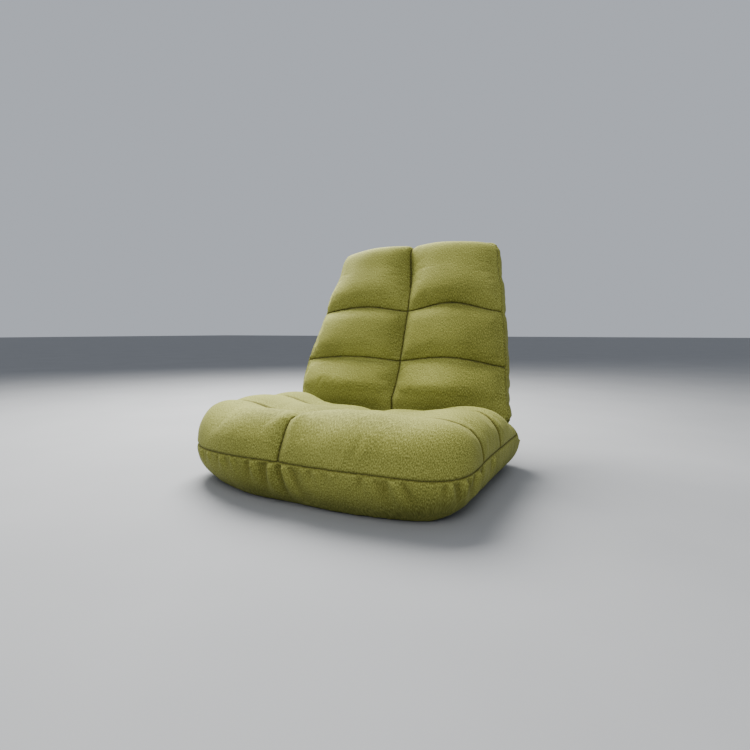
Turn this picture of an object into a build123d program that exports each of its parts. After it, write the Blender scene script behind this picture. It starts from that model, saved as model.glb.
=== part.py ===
from build123d import *
import os
from math import cos, radians, sin

# A low floor chair: a padded seat and a padded back on a bent tube frame, joined by two
# ratchet hinges. Millimetres, floor at z = 0, front towards -Y, middle of the chair at x = 0.

# Seat cushion, outline and heights
seat_half = 330.0
front_seam_y = -317.0
corner_start_y = -160.0
corner_power = 2.8
seam_z = 91.0
lip_z = 166.0
lip_side_z = 159.0
row_one_y = -150.0
row_one_z = 157.0
row_one_side_z = 165.0
row_two_y = 0.0
row_two_z = 135.0
row_two_side_z = 158.0
pad_crown = 9.0
rear_crest_y = 52.0
rear_crown = 2.0
foot_setback = 52.0
foot_bulge = 15.0
side_start = 235.0
side_power = 2.6
side_end_share = 0.996
dish_edge_x = 110.0
wing_x = 262.0
groove_depth = 14.0
groove_reach = 70.0
groove_setback = 0.3
lip_share = 0.36
lip_groove = 0.45
cheek_stations = (254.0, 275.0, 300.0, 316.0, 324.0)
seat_stations = (0.0, 18.0, 60.0, 150.0, 225.0, 270.0, 300.0, 320.0, 330.0)

# Hinge line and the round parts about it
hinge_y = 190.0
hinge_z = 70.0
back_lean = 20.0
cheek_radius = 47.0
cove_radius = 52.0
roll_radius = 50.0
corner_radius = 51.0
roll_half = 251.0
crease_angle = 184.0
tongue_end = 12.0
border_turn_y = 130.0
border_rear_x = 288.0

# Back cushion, measured along the back from the hinge line
back_row_two = 172.0
back_row_one = 320.0
back_shoulder = 480.0
back_top = 516.0
back_base_half = 312.0
back_top_half = 236.0
back_side_bow = 9.0
back_front_in = 2.0
back_side_in = 5.0
back_rear_in = 22.0
edge_front = 40.0
pad_plane = 36.5
groove_front = 52.0
rear_edge = -36.0
rear_crown_depth = 12.0
row_dip = 9.0
pad_rise = 29.0
pad_peak_share = 0.56
groove_follow = 0.15

# Cloth, foam and fits
cloth = 2.5
fit = 0.3
running_fit = 0.06

# Tube frame
tube_radius = 9.5
tube_wall = 1.5
seat_tube_x = 270.0
seat_tube_front_y = -235.0
seat_tube_end_y = 140.0
seat_bend = 85.0
cross_tube_y = 102.0
back_tube_end = 75.0
back_knee = 130.0
back_tube_top_x = 196.0
back_tube_top = 452.0
back_bend = 60.0
lower_cross = 128.0
upper_cross = 300.0

# Webbing and felt
strap_width = 45.0
strap_thickness = 1.5
seat_strap_places = (-122.0, -64.0, -6.0, 52.0)
back_strap_places = (174.0, 232.0, 333.0, 381.0)
felt_thickness = 2.4
seat_felt_y = -60.0
seat_felt_length = 320.0
seat_felt_corner = 30.0
felt_margin = 8.0
back_felt_low = (240.0, 140.0)
back_felt_high = (180.0, 438.0)

# Ratchet hinge
gear_half = 2.0
plate_thickness = 2.5
plate_gap = 1.5
plate_radius = 33.0
plate_neck = 16.0
tang_half = 4.5
tang_length = 32.0
arm_half = 6.5
arm_tang = 30.0
pivot_radius = 6.0
pivot_head = 10.0
head_thickness = 2.0
tooth_root = 22.5
tooth_tip = 26.0
tooth_pitch = 7.0
steps_forward = 4
steps_back = 10
pawl_place = 225.0
pawl_reach = 24.0
pawl_pin_out = 28.0
pawl_pin_radius = 3.0
pawl_eye = 6.0
pawl_lift = 8.0
pawl_tip_out = 23.1
pawl_heel_out = 29.4
nose_half = 1.1
post_radius = 2.0
spring_thickness = 0.8
spring_gap = 0.8
rivet_radius = 2.5
rivet_head = 4.5
rivet_back_off = 14.0

# Room in the foam and the cheeks for the hinge and for the swing of its arm
pocket_gap = 2.0
spring_room = 6.0
swing_reach = 95.0
swing_side = 80.0
swing_first = -14.0
swing_turns = (20.0, 50.0, 82.0)
swing_last = 112.0

sides = (("left", 1), ("right", -1))
lean = radians(back_lean)
u_dir = (0, sin(lean), cos(lean))
back_plane = Plane(origin=(0, hinge_y, hinge_z), x_dir=(1, 0, 0), z_dir=u_dir)
frame_plane = Plane(origin=(0, hinge_y, hinge_z), x_dir=(1, 0, 0), z_dir=(0, -cos(lean), sin(lean)))
strap_z = hinge_z + tube_radius + fit
felt_z = strap_z + strap_thickness + fit
pocket_top = felt_z + felt_thickness + fit
plate_x = gear_half + plate_gap + plate_thickness / 2
stack = plate_x + plate_thickness / 2 + running_fit
base_top = hinge_z - tube_radius - strap_thickness - 2 * fit
crease_y = hinge_y + cove_radius * cos(radians(crease_angle))
os.makedirs("parts", exist_ok=True)


def polar(radius, angle):
    return (hinge_y + radius * cos(radians(angle)), hinge_z + radius * sin(radians(angle)))


def fullness(x):
    share = min(max(0.0, (x - side_start) / (seat_half - side_start)), side_end_share)
    return (1.0 - share**side_power) ** (1.0 / side_power)


def wing(x):
    share = min(max(0.0, (x - dish_edge_x) / (wing_x - dish_edge_x)), 1.0)
    return share * share * (3.0 - 2.0 * share)


def front_y(x):
    share = 1.0 - (x / seat_half) ** corner_power
    return corner_start_y + (front_seam_y - corner_start_y) * max(share, 0.0) ** (1.0 / corner_power)


def seat_section(x):
    full = fullness(x)
    rise = wing(x)
    dip = groove_depth * max(0.0, 1.0 - x / groove_reach) ** 2

    def top(height):
        return seam_z + full * (height - dip - seam_z)

    front = front_y(x) + groove_setback * dip
    bottom = seam_z * (1.0 - full)
    one = row_one_z + rise * (row_one_side_z - row_one_z)
    two = row_two_z + rise * (row_two_side_z - row_two_z)
    lip = lip_z + rise * (lip_side_z - lip_z)

    def cove(angle):
        y, z = polar(cove_radius, angle)
        return (y, seam_z + full * (z - seam_z))

    lip_y = front + lip_share * (row_one_y - front)
    lip_top = seam_z + full * (lip - lip_groove * dip - seam_z)
    heel = (hinge_y + tongue_end, bottom)
    with BuildSketch(Plane.YZ.offset(x)) as section:
        with BuildLine():
            ThreePointArc((front, seam_z), (lip_y, lip_top), (row_one_y, top(one)))
            middle = (row_one_y + row_two_y) / 2
            ThreePointArc(
                (row_one_y, top(one)),
                (middle, top((one + two) / 2 + pad_crown)),
                (row_two_y, top(two)),
            )
            ThreePointArc((row_two_y, top(two)), (rear_crest_y, top(two + rear_crown)), cove(crease_angle))
            ThreePointArc(cove(crease_angle), cove(crease_angle / 2 + 135), cove(270))
            Line(cove(270), heel)
            Line(heel, (front + foot_setback, bottom))
            belly = (front + foot_setback / 2 - foot_bulge, (seam_z + bottom) / 2)
            ThreePointArc((front + foot_setback, bottom), belly, (front, seam_z))
        make_face()
    return section.sketch


def seat_shape():
    with BuildPart() as half:
        for x in seat_stations:
            add(seat_section(x))
        loft()
        mirror(about=Plane.YZ)
    return half.part


def cheek_section(x, grow):
    full = fullness(x)
    shrink = 0.5 + 0.5 * full

    def rim(angle):
        y, z = polar(cheek_radius + grow, angle)
        return (hinge_y + (y - hinge_y) * shrink, seam_z + full * (z - seam_z))

    with BuildSketch(Plane.YZ.offset(x)) as section:
        with BuildLine():
            ThreePointArc(rim(0), rim(60), rim(120))
            ThreePointArc(rim(120), rim(180), rim(240))
            ThreePointArc(rim(240), rim(300), rim(360))
        make_face()
    return section.sketch


def back_half_width(u):
    share = u / back_top
    straight = back_base_half + share * (back_top_half - back_base_half)
    return straight + back_side_bow * 4 * share * (1 - share)


def back_section(u, rise, thin, rear_thin, narrow, inset):
    half = back_half_width(u) - narrow - inset
    edge = half - back_front_in
    side = half - back_side_in
    rear_x = half - back_rear_in
    front_edge = edge_front - thin - inset
    groove = groove_front - thin - inset - (pad_rise - rise) * groove_follow
    rear = rear_edge + rear_thin + inset
    peak = groove + rise
    deep = rear - rear_crown_depth
    with BuildSketch(back_plane.offset(u)) as section:
        with BuildLine():
            ThreePointArc((0, -groove), (edge * pad_peak_share, -peak), (edge, -front_edge))
            ThreePointArc((edge, -front_edge), (side, -(front_edge + rear) / 2), (rear_x, -rear))
            ThreePointArc((rear_x, -rear), (0, -deep), (-rear_x, -rear))
            ThreePointArc((-rear_x, -rear), (-side, -(front_edge + rear) / 2), (-edge, -front_edge))
            ThreePointArc((-edge, -front_edge), (-edge * pad_peak_share, -peak), (0, -groove))
        make_face()
    return section.sketch


def back_row(stations, inset):
    with BuildPart() as row:
        for u, rise, thin, rear_thin, narrow in stations:
            place = min(u, back_top - inset)
            add(back_section(place, rise, thin, rear_thin, narrow, inset))
        loft()
        for sign in (1, -1):
            with BuildSketch(Plane.YZ.offset(sign * (roll_half + 0.5 - inset))):
                with Locations((hinge_y, hinge_z)):
                    Circle(corner_radius + inset)
            extrude(amount=sign * 100, mode=Mode.SUBTRACT)
    return row.part


low = pad_rise - row_dip
back_rows = {
    "lower": (
        (0.0, 2.0, 0.0, 0.0, 0.0),
        (28.0, 0.5, 2.0, 0.0, 0.0),
        (64.0, 20.0, 0.0, 0.0, 0.0),
        (112.0, pad_rise, 0.0, 0.0, 0.0),
        (back_row_two, low, 0.0, 0.0, 0.0),
    ),
    "middle": (
        (back_row_two, low, 0.0, 0.0, 0.0),
        ((back_row_two + back_row_one) / 2, pad_rise, 0.0, 0.0, 0.0),
        (back_row_one, low, 0.0, 0.0, 0.0),
    ),
    "upper": (
        (back_row_one, low, 0.0, 0.0, 0.0),
        ((back_row_one + back_shoulder) / 2, pad_rise, 0.0, 0.0, 0.0),
        (back_shoulder, low, 2.0, 2.0, 1.0),
        (back_top - 12, 14.0, 8.0, 8.0, 4.0),
        (back_top, 8.0, 20.0, 19.0, 14.0),
    ),
}

seat_outer = seat_shape()
seat_inner = scale(seat_outer, by=(1 - cloth / seat_half, 1 - cloth / seat_half, 1))
back_outer = {name: back_row(stations, 0.0) for name, stations in back_rows.items()}
back_inner = {name: back_row(stations, cloth) for name, stations in back_rows.items()}


def leg_x(u):
    share = max(0.0, (u - back_knee) / (back_tube_top - back_knee))
    return seat_tube_x + share * (back_tube_top_x - seat_tube_x)


# Six quilted pads of the seat, two columns by three rows
seat_rows = (
    ("front", front_seam_y - 83, row_one_y),
    ("middle", row_one_y, row_two_y),
    ("rear", row_two_y, crease_y),
)
for side, sign in sides:
    for row, start, end in seat_rows:
        with BuildPart() as seat_pad:
            add(seat_outer)
            with BuildSketch(Plane.XY.offset(seam_z + fit)):
                with Locations((sign * seat_half / 2, (start + end) / 2)):
                    Rectangle(seat_half, end - start)
            extrude(amount=150, mode=Mode.INTERSECT)
        seat_pad.part.label = f"seat_pad_{row}_{side}"
        export_step(seat_pad.part, f"parts/seat_pad_{row}_{side}.step")

# Hollow for one hinge, used by the foam around it
gear_pocket = {}
for side, sign in sides:
    with BuildPart() as hollow:
        with BuildSketch(Plane.YZ.offset(sign * seat_tube_x)):
            with Locations((hinge_y, hinge_z)):
                Circle(plate_radius + pocket_gap)
            with Locations(((crease_y + hinge_y) / 2 - 5, hinge_z - spring_room / 2)):
                Rectangle(hinge_y - crease_y + 10, 2 * (plate_neck + pocket_gap) + spring_room)
        extrude(amount=stack + head_thickness + fit, both=True)
        with BuildSketch(Plane.YZ.offset(sign * seat_tube_x)):
            with BuildLine():
                swing = [polar(swing_reach, angle) for angle in swing_turns]
                Polyline(
                    (hinge_y, hinge_z),
                    polar(swing_side, swing_first),
                    *swing,
                    polar(swing_side, swing_last),
                    close=True,
                )
            make_face()
        extrude(amount=gear_half + plate_gap, both=True)
    gear_pocket[side] = hollow.part

# Soft cheek over each hinge, and the room for it in the lower foam
cheek_room = {}
for side, sign in sides:
    with BuildPart() as room:
        for x in cheek_stations:
            add(cheek_section(x, fit))
        loft()
        if sign < 0:
            mirror(about=Plane.YZ, mode=Mode.REPLACE)
    cheek_room[side] = room.part
    with BuildPart() as hinge_cheek:
        for x in cheek_stations:
            add(cheek_section(x, 0.0))
        loft()
        if sign < 0:
            mirror(about=Plane.YZ, mode=Mode.REPLACE)
        add(gear_pocket[side], mode=Mode.SUBTRACT)
    hinge_cheek.part.label = f"hinge_cheek_{side}"
    export_step(hinge_cheek.part, f"parts/hinge_cheek_{side}.step")

# Upper foam: a tray turned over the seat frame
with BuildPart() as seat_upper_foam:
    add(seat_inner)
    with BuildSketch(Plane.XY.offset(base_top + fit)):
        with Locations((0, crease_y - 250)):
            Rectangle(2 * seat_half, 500)
    extrude(amount=seam_z - base_top - 2 * fit, mode=Mode.INTERSECT)
    with BuildSketch(Plane.XY.offset(base_top)):
        with Locations((0, (seat_tube_front_y - tube_radius - 3 + crease_y) / 2)):
            Rectangle(
                2 * (seat_tube_x + tube_radius + 3),
                crease_y - seat_tube_front_y + tube_radius + 3,
            )
    extrude(amount=pocket_top - base_top, mode=Mode.SUBTRACT)
    for side, sign in sides:
        add(gear_pocket[side], mode=Mode.SUBTRACT)
seat_upper_foam.part.label = "seat_upper_foam"
export_step(seat_upper_foam.part, "parts/seat_upper_foam.step")

# Lower foam under the seat frame
with BuildPart() as seat_lower_foam:
    add(seat_inner)
    with BuildSketch(Plane.XY.offset(cloth + fit)):
        Rectangle(2 * seat_half, 800)
    extrude(amount=base_top - cloth - fit, mode=Mode.INTERSECT)
    for side, sign in sides:
        add(gear_pocket[side], mode=Mode.SUBTRACT)
        add(cheek_room[side], mode=Mode.SUBTRACT)
seat_lower_foam.part.label = "seat_lower_foam"
export_step(seat_lower_foam.part, "parts/seat_lower_foam.step")

# Cloth on the underside, the face the chair rests on
floor_outline = section(seat_outer, section_by=Plane.XY.offset(cloth))
with BuildPart() as seat_underside:
    extrude(floor_outline, amount=-cloth)
seat_underside.part.label = "seat_underside"
export_step(seat_underside.part, "parts/seat_underside.step")

# Border cloth round the lower half of the seat
with BuildPart() as border_shell:
    add(seat_outer)
    with BuildSketch(Plane.XY.offset(cloth + fit)):
        with Locations((0, -100)):
            Rectangle(2 * seat_half + 2, 700)
    extrude(amount=seam_z - cloth - 2 * fit, mode=Mode.INTERSECT)
    add(seat_inner, mode=Mode.SUBTRACT)
with BuildPart() as border_front:
    add(border_shell.part)
    with BuildSketch(Plane.XY):
        with Locations((0, corner_start_y - 150)):
            Rectangle(2 * seat_half + 2, 300)
    extrude(amount=seam_z, mode=Mode.INTERSECT)
border_front.part.label = "seat_border_front"
export_step(border_front.part, "parts/seat_border_front.step")
for side, sign in sides:
    with BuildPart() as border_side:
        add(border_shell.part)
        with BuildSketch(Plane.XY):
            with Locations((sign * (cheek_stations[0] + 60), corner_start_y / 2 + border_turn_y / 2)):
                Rectangle(120, border_turn_y - corner_start_y)
            with Locations((sign * (border_rear_x + 40), border_turn_y + 50)):
                Rectangle(80, 100)
        extrude(amount=seam_z, mode=Mode.INTERSECT)
    border_side.part.label = f"seat_border_{side}"
    export_step(border_side.part, f"parts/seat_border_{side}.step")

# Bent tube frame of the seat and its cross tube
with BuildPart() as seat_frame_tube:
    with BuildLine(Plane.XY.offset(hinge_z)) as seat_path:
        FilletPolyline(
            (seat_tube_x, seat_tube_end_y),
            (seat_tube_x, seat_tube_front_y),
            (-seat_tube_x, seat_tube_front_y),
            (-seat_tube_x, seat_tube_end_y),
            radius=seat_bend,
        )
    with BuildSketch(seat_path.line ^ 0):
        Circle(tube_radius)
        Circle(tube_radius - tube_wall, mode=Mode.SUBTRACT)
    sweep()
    with BuildSketch(Plane.YZ):
        with Locations((seat_tube_end_y - rivet_back_off, hinge_z)):
            Circle(rivet_radius + running_fit)
    extrude(amount=seat_half, both=True, mode=Mode.SUBTRACT)
seat_frame_tube.part.label = "seat_frame_tube"
export_step(seat_frame_tube.part, "parts/seat_frame_tube.step")

with BuildPart() as seat_cross_tube:
    with BuildSketch(Plane.YZ):
        with Locations((cross_tube_y, hinge_z)):
            Circle(tube_radius - 1.5)
            Circle(tube_radius - 1.5 - tube_wall, mode=Mode.SUBTRACT)
    extrude(amount=seat_tube_x - 5, both=True)
    for side, sign in sides:
        with Locations((sign * seat_tube_x, cross_tube_y, hinge_z)):
            Cylinder(tube_radius + running_fit, 60, rotation=(90, 0, 0), mode=Mode.SUBTRACT)
seat_cross_tube.part.label = "seat_cross_tube"
export_step(seat_cross_tube.part, "parts/seat_cross_tube.step")

# Elastic straps looped round the side tubes, and the felt on them
with BuildPart() as seat_straps:
    for place in seat_strap_places:
        with BuildSketch(Plane.XZ.offset(-place)):
            with Locations((seat_tube_x, hinge_z), (-seat_tube_x, hinge_z)):
                Circle(tube_radius + fit + strap_thickness)
            with Locations((0, strap_z + strap_thickness / 2)):
                Rectangle(2 * seat_tube_x, strap_thickness)
            with Locations((seat_tube_x, hinge_z), (-seat_tube_x, hinge_z)):
                Circle(tube_radius + fit, mode=Mode.SUBTRACT)
        extrude(amount=strap_width / 2, both=True)
seat_straps.part.label = "seat_straps"
export_step(seat_straps.part, "parts/seat_straps.step")

with BuildPart() as seat_felt:
    with BuildSketch(Plane.XY.offset(felt_z)):
        with Locations((0, seat_felt_y)):
            RectangleRounded(2 * (seat_tube_x - felt_margin), seat_felt_length, seat_felt_corner)
    extrude(amount=felt_thickness)
seat_felt.part.label = "seat_felt"
export_step(seat_felt.part, "parts/seat_felt.step")

# Six quilted pads of the back
for side, sign in sides:
    for row, shape in back_outer.items():
        with BuildPart() as back_pad:
            add(shape)
            with BuildSketch(frame_plane.offset(pad_plane + fit)):
                with Locations((sign * 200, 250)):
                    Rectangle(400, 600)
            extrude(amount=80, mode=Mode.INTERSECT)
        back_pad.part.label = f"back_pad_{row}_{side}"
        export_step(back_pad.part, f"parts/back_pad_{row}_{side}.step")

# Padded roll at the foot of the back, between the hinges
with BuildPart() as back_roll:
    with BuildSketch(Plane.YZ):
        with Locations((hinge_y, hinge_z)):
            Circle(roll_radius)
    extrude(amount=roll_half, both=True)
    with BuildSketch(back_plane.offset(-fit)):
        Rectangle(2 * roll_half + 20, 200)
    extrude(amount=-100, mode=Mode.INTERSECT)
back_roll.part.label = "back_roll"
export_step(back_roll.part, "parts/back_roll.step")

# Foam of the back, before and behind the frame
loop_inner = tube_radius + 2 * fit
frame_pocket_half = seat_tube_x + loop_inner + strap_thickness + 1
split_depth = -loop_inner - strap_thickness - fit
felt_depth = loop_inner + strap_thickness + fit
pocket_depth = felt_depth + felt_thickness + fit
with BuildPart() as back_front_foam:
    for shape in back_inner.values():
        add(shape)
    with BuildSketch(frame_plane.offset(split_depth + fit)):
        with Locations((0, 250)):
            Rectangle(800, 600)
    extrude(amount=pad_plane - split_depth - fit, mode=Mode.INTERSECT)
    with BuildSketch(frame_plane.offset(split_depth)):
        with BuildLine():
            Polyline(
                (frame_pocket_half, 35), (frame_pocket_half, back_knee + 4),
                (back_tube_top_x + 14, back_tube_top + 12), (-back_tube_top_x - 14, back_tube_top + 12),
                (-frame_pocket_half, back_knee + 4), (-frame_pocket_half, 35),
                close=True,
            )
        make_face()
    extrude(amount=pocket_depth - split_depth, mode=Mode.SUBTRACT)
back_front_foam.part.label = "back_front_foam"
export_step(back_front_foam.part, "parts/back_front_foam.step")

with BuildPart() as back_rear_foam:
    for shape in back_inner.values():
        add(shape)
    with BuildSketch(frame_plane.offset(split_depth)):
        with Locations((0, 250)):
            Rectangle(800, 600)
    extrude(amount=-80, mode=Mode.INTERSECT)
back_rear_foam.part.label = "back_rear_foam"
export_step(back_rear_foam.part, "parts/back_rear_foam.step")

# Cloth round the edge of the back and over its rear
with BuildPart() as back_shell:
    for shape in back_outer.values():
        add(shape)
    for shape in back_inner.values():
        add(shape, mode=Mode.SUBTRACT)
with BuildPart() as back_gusset:
    add(back_shell.part)
    with BuildSketch(frame_plane.offset(rear_edge + 4)):
        with Locations((0, 250)):
            Rectangle(800, 600)
    extrude(amount=pad_plane - rear_edge - 4, mode=Mode.INTERSECT)
    for side, sign in sides:
        with Locations(back_plane.offset(corner_radius)):
            with Locations((sign * seat_tube_x, 0, 0)):
                Box(2 * (gear_half + plate_gap), 2 * arm_half + 4, 40, mode=Mode.SUBTRACT)
back_gusset.part.label = "back_gusset"
export_step(back_gusset.part, "parts/back_gusset.step")

with BuildPart() as back_rear_panel:
    add(back_shell.part)
    with BuildSketch(frame_plane.offset(rear_edge + 4 - fit)):
        with Locations((0, 250)):
            Rectangle(800, 600)
    extrude(amount=-60, mode=Mode.INTERSECT)
back_rear_panel.part.label = "back_rear_panel"
export_step(back_rear_panel.part, "parts/back_rear_panel.step")

# Bent tube frame of the back and its cross tubes
with BuildPart() as back_frame_tube:
    with BuildLine(frame_plane) as back_path:
        FilletPolyline(
            (seat_tube_x, back_tube_end),
            (seat_tube_x, back_knee),
            (back_tube_top_x, back_tube_top),
            (-back_tube_top_x, back_tube_top),
            (-seat_tube_x, back_knee),
            (-seat_tube_x, back_tube_end),
            radius=back_bend,
        )
    with BuildSketch(back_path.line ^ 0):
        Circle(tube_radius)
        Circle(tube_radius - tube_wall, mode=Mode.SUBTRACT)
    sweep()
    for side, sign in sides:
        with Locations(back_plane.offset(back_tube_end + rivet_back_off)):
            Cylinder(rivet_radius + running_fit, 2 * seat_half, rotation=(0, 90, 0), mode=Mode.SUBTRACT)
back_frame_tube.part.label = "back_frame_tube"
export_step(back_frame_tube.part, "parts/back_frame_tube.step")

with BuildPart() as frame_space:
    with BuildSketch(back_path.line ^ 0):
        Circle(tube_radius + running_fit)
    sweep(path=back_path.line)
for name, place in (("lower", lower_cross), ("upper", upper_cross)):
    with BuildPart() as back_cross_tube:
        with Locations(back_plane.offset(place)):
            Cylinder(tube_radius - 1.5, 2 * leg_x(place) - 4, rotation=(0, 90, 0))
            Cylinder(
                tube_radius - 1.5 - tube_wall, 2 * leg_x(place), rotation=(0, 90, 0), mode=Mode.SUBTRACT
            )
        add(frame_space.part, mode=Mode.SUBTRACT)
    back_cross_tube.part.label = f"back_cross_tube_{name}"
    export_step(back_cross_tube.part, f"parts/back_cross_tube_{name}.step")

# Elastic straps of the back, looped round the leaning legs, and the felt on them
with BuildPart() as back_straps:
    for place in back_strap_places:
        start = place - strap_width / 2
        end = place + strap_width / 2
        for side, sign in sides:
            shift = sign * (leg_x(end) - leg_x(start))
            lean_way = (shift, strap_width * sin(lean), strap_width * cos(lean))
            with BuildSketch(back_plane.offset(start)):
                with Locations((sign * leg_x(start), 0)):
                    Circle(loop_inner + strap_thickness)
                    Circle(loop_inner, mode=Mode.SUBTRACT)
            extrude(amount=Vector(lean_way).length, dir=lean_way)
        with BuildSketch(frame_plane.offset(loop_inner + strap_thickness / 5)):
            with BuildLine():
                Polyline(
                    (leg_x(start), start), (leg_x(end), end), (-leg_x(end), end), (-leg_x(start), start),
                    close=True,
                )
            make_face()
        extrude(amount=strap_thickness * 3 / 5)
back_straps.part.label = "back_straps"
export_step(back_straps.part, "parts/back_straps.step")

with BuildPart() as back_felt:
    with BuildSketch(frame_plane.offset(felt_depth)):
        with BuildLine():
            Polyline(
                back_felt_low,
                back_felt_high,
                (-back_felt_high[0], back_felt_high[1]),
                (-back_felt_low[0], back_felt_low[1]),
                close=True,
            )
        make_face()
    extrude(amount=felt_thickness)
back_felt.part.label = "back_felt"
export_step(back_felt.part, "parts/back_felt.step")

# Ratchet hinges
pawl_r = Vector(cos(radians(pawl_place)), sin(radians(pawl_place)))
pawl_t = Vector(sin(radians(pawl_place)), -cos(radians(pawl_place)))
gear_centre = Vector(hinge_y, hinge_z)
pin_place = gear_centre + pawl_r * pawl_pin_out + pawl_t * pawl_reach
post_place = pin_place + pawl_r * 13 - pawl_t
lifted_out = Vector(cos(radians(pawl_place - pawl_lift)), sin(radians(pawl_place - pawl_lift)))
lifted_along = Vector(-lifted_out.Y, lifted_out.X)
heel_lever = gear_centre + pawl_r * pawl_heel_out - pin_place
edge_out = heel_lever.dot(pawl_r) + spring_gap + spring_thickness / 2
spring_end = pin_place + lifted_out * edge_out + lifted_along * (pawl_reach - 3)
spring_root = post_place - lifted_out * (post_radius + running_fit + spring_thickness / 2)
first_gap = pawl_place - steps_forward * tooth_pitch
gap_count = steps_forward + steps_back + 1
for side, sign in sides:
    with BuildPart() as ratchet_arm:
        with BuildSketch(Plane.YZ.offset(sign * seat_tube_x)):
            with BuildLine():
                outline = [polar(tooth_tip, first_gap - tooth_pitch / 2)]
                for step in range(gap_count):
                    outline.append(polar(tooth_root, first_gap + step * tooth_pitch))
                    outline.append(polar(tooth_tip, first_gap + (step + 0.5) * tooth_pitch))
                Polyline((hinge_y, hinge_z), *outline, close=True)
            make_face()
            with Locations((hinge_y, hinge_z)):
                Circle(tooth_root)
                with Locations(Rotation(0, 0, 90 - back_lean)):
                    with Locations(((back_tube_end + arm_tang) / 2, 0)):
                        Rectangle(back_tube_end + arm_tang, 2 * arm_half)
                Circle(pivot_radius + running_fit, mode=Mode.SUBTRACT)
        extrude(amount=gear_half, both=True)
        with Locations(back_plane.offset(back_tube_end + rivet_back_off)):
            Cylinder(rivet_radius + running_fit, 2 * seat_half, rotation=(0, 90, 0), mode=Mode.SUBTRACT)
    ratchet_arm.part.label = f"ratchet_arm_{side}"
    export_step(ratchet_arm.part, f"parts/ratchet_arm_{side}.step")

    for name, way in (("inner", -1), ("outer", 1)):
        with BuildPart() as gear_plate:
            with BuildSketch(Plane.YZ.offset(sign * (seat_tube_x + way * plate_x))):
                with Locations((hinge_y, hinge_z)):
                    Circle(plate_radius)
                with Locations(((seat_tube_end_y + 1 + hinge_y) / 2, hinge_z)):
                    Rectangle(hinge_y - seat_tube_end_y - 1, 2 * plate_neck)
                with Locations((seat_tube_end_y + 5 - tang_length / 2, hinge_z)):
                    Rectangle(tang_length + 10, 2 * tang_half)
                with Locations((hinge_y, hinge_z)):
                    Circle(pivot_radius + running_fit, mode=Mode.SUBTRACT)
                with Locations(pin_place):
                    Circle(pawl_pin_radius + running_fit, mode=Mode.SUBTRACT)
                with Locations(post_place):
                    Circle(post_radius + running_fit, mode=Mode.SUBTRACT)
                with Locations((seat_tube_end_y - rivet_back_off, hinge_z)):
                    Circle(rivet_radius + running_fit, mode=Mode.SUBTRACT)
            extrude(amount=plate_thickness / 2, both=True)
        gear_plate.part.label = f"gear_plate_{name}_{side}"
        export_step(gear_plate.part, f"parts/gear_plate_{name}_{side}.step")

    pins = (
        ("pivot_rivet", gear_centre, pivot_radius, pivot_head),
        ("pawl_pin", pin_place, pawl_pin_radius, pawl_pin_radius + 2),
        ("spring_post", post_place, post_radius, post_radius + 1.5),
    )
    for name, place, radius, head in pins:
        with BuildPart() as pin:
            with BuildSketch(Plane.YZ.offset(sign * seat_tube_x)):
                with Locations(place):
                    Circle(radius)
            extrude(amount=stack + head_thickness / 2, both=True)
            for way in (-1, 1):
                with BuildSketch(Plane.YZ.offset(sign * seat_tube_x + way * (stack + head_thickness / 2))):
                    with Locations(place):
                        Circle(head)
                extrude(amount=head_thickness / 2, both=True)
        pin.part.label = f"{name}_{side}"
        export_step(pin.part, f"parts/{name}_{side}.step")

    with BuildPart() as pawl:
        with BuildSketch(Plane.YZ.offset(sign * seat_tube_x)):
            with BuildLine():
                tip = gear_centre + pawl_r * pawl_tip_out
                shoulder = gear_centre + pawl_r * (tooth_tip + 0.6)
                heel = gear_centre + pawl_r * pawl_heel_out
                Polyline(
                    tip + pawl_t * 0.15,
                    shoulder + pawl_t * nose_half,
                    pin_place - pawl_r * 3.5 - pawl_t * 4,
                    pin_place + pawl_r * 5,
                    heel + pawl_t * 0,
                    heel - pawl_t * 2.4,
                    shoulder - pawl_t * nose_half,
                    tip - pawl_t * 0.15,
                    close=True,
                )
            make_face()
            with Locations(pin_place):
                Circle(pawl_eye)
                Circle(pawl_pin_radius + running_fit, mode=Mode.SUBTRACT)
        extrude(amount=gear_half, both=True)
    pin_axis = Axis((0, pin_place.X, pin_place.Y), (1, 0, 0))
    lifted = pawl.part.rotate(pin_axis, -pawl_lift)
    lifted.label = f"pawl_{side}"
    export_step(lifted, f"parts/pawl_{side}.step")

    with BuildPart() as pawl_spring:
        with BuildSketch(Plane.YZ.offset(sign * seat_tube_x)):
            with Locations(post_place):
                Circle(post_radius + running_fit + spring_thickness)
            with BuildLine():
                Line(spring_root, spring_end)
            trace(line_width=spring_thickness)
            with Locations(post_place):
                Circle(post_radius + running_fit, mode=Mode.SUBTRACT)
        extrude(amount=gear_half, both=True)
    pawl_spring.part.label = f"pawl_spring_{side}"
    export_step(pawl_spring.part, f"parts/pawl_spring_{side}.step")

# Rivets that hold the hinge tangs in the tube ends
with BuildPart() as seat_rivets:
    for side, sign in sides:
        with Locations((sign * seat_tube_x, seat_tube_end_y - rivet_back_off, hinge_z)):
            Cylinder(rivet_radius, 2 * tube_radius + 2, rotation=(0, 90, 0))
        for way in (-1, 1):
            place = sign * seat_tube_x + way * (tube_radius + running_fit + 0.75)
            with Locations((place, seat_tube_end_y - rivet_back_off, hinge_z)):
                Cylinder(rivet_head, 1.5, rotation=(0, 90, 0))
seat_rivets.part.label = "seat_rivets"
export_step(seat_rivets.part, "parts/seat_rivets.step")

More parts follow.
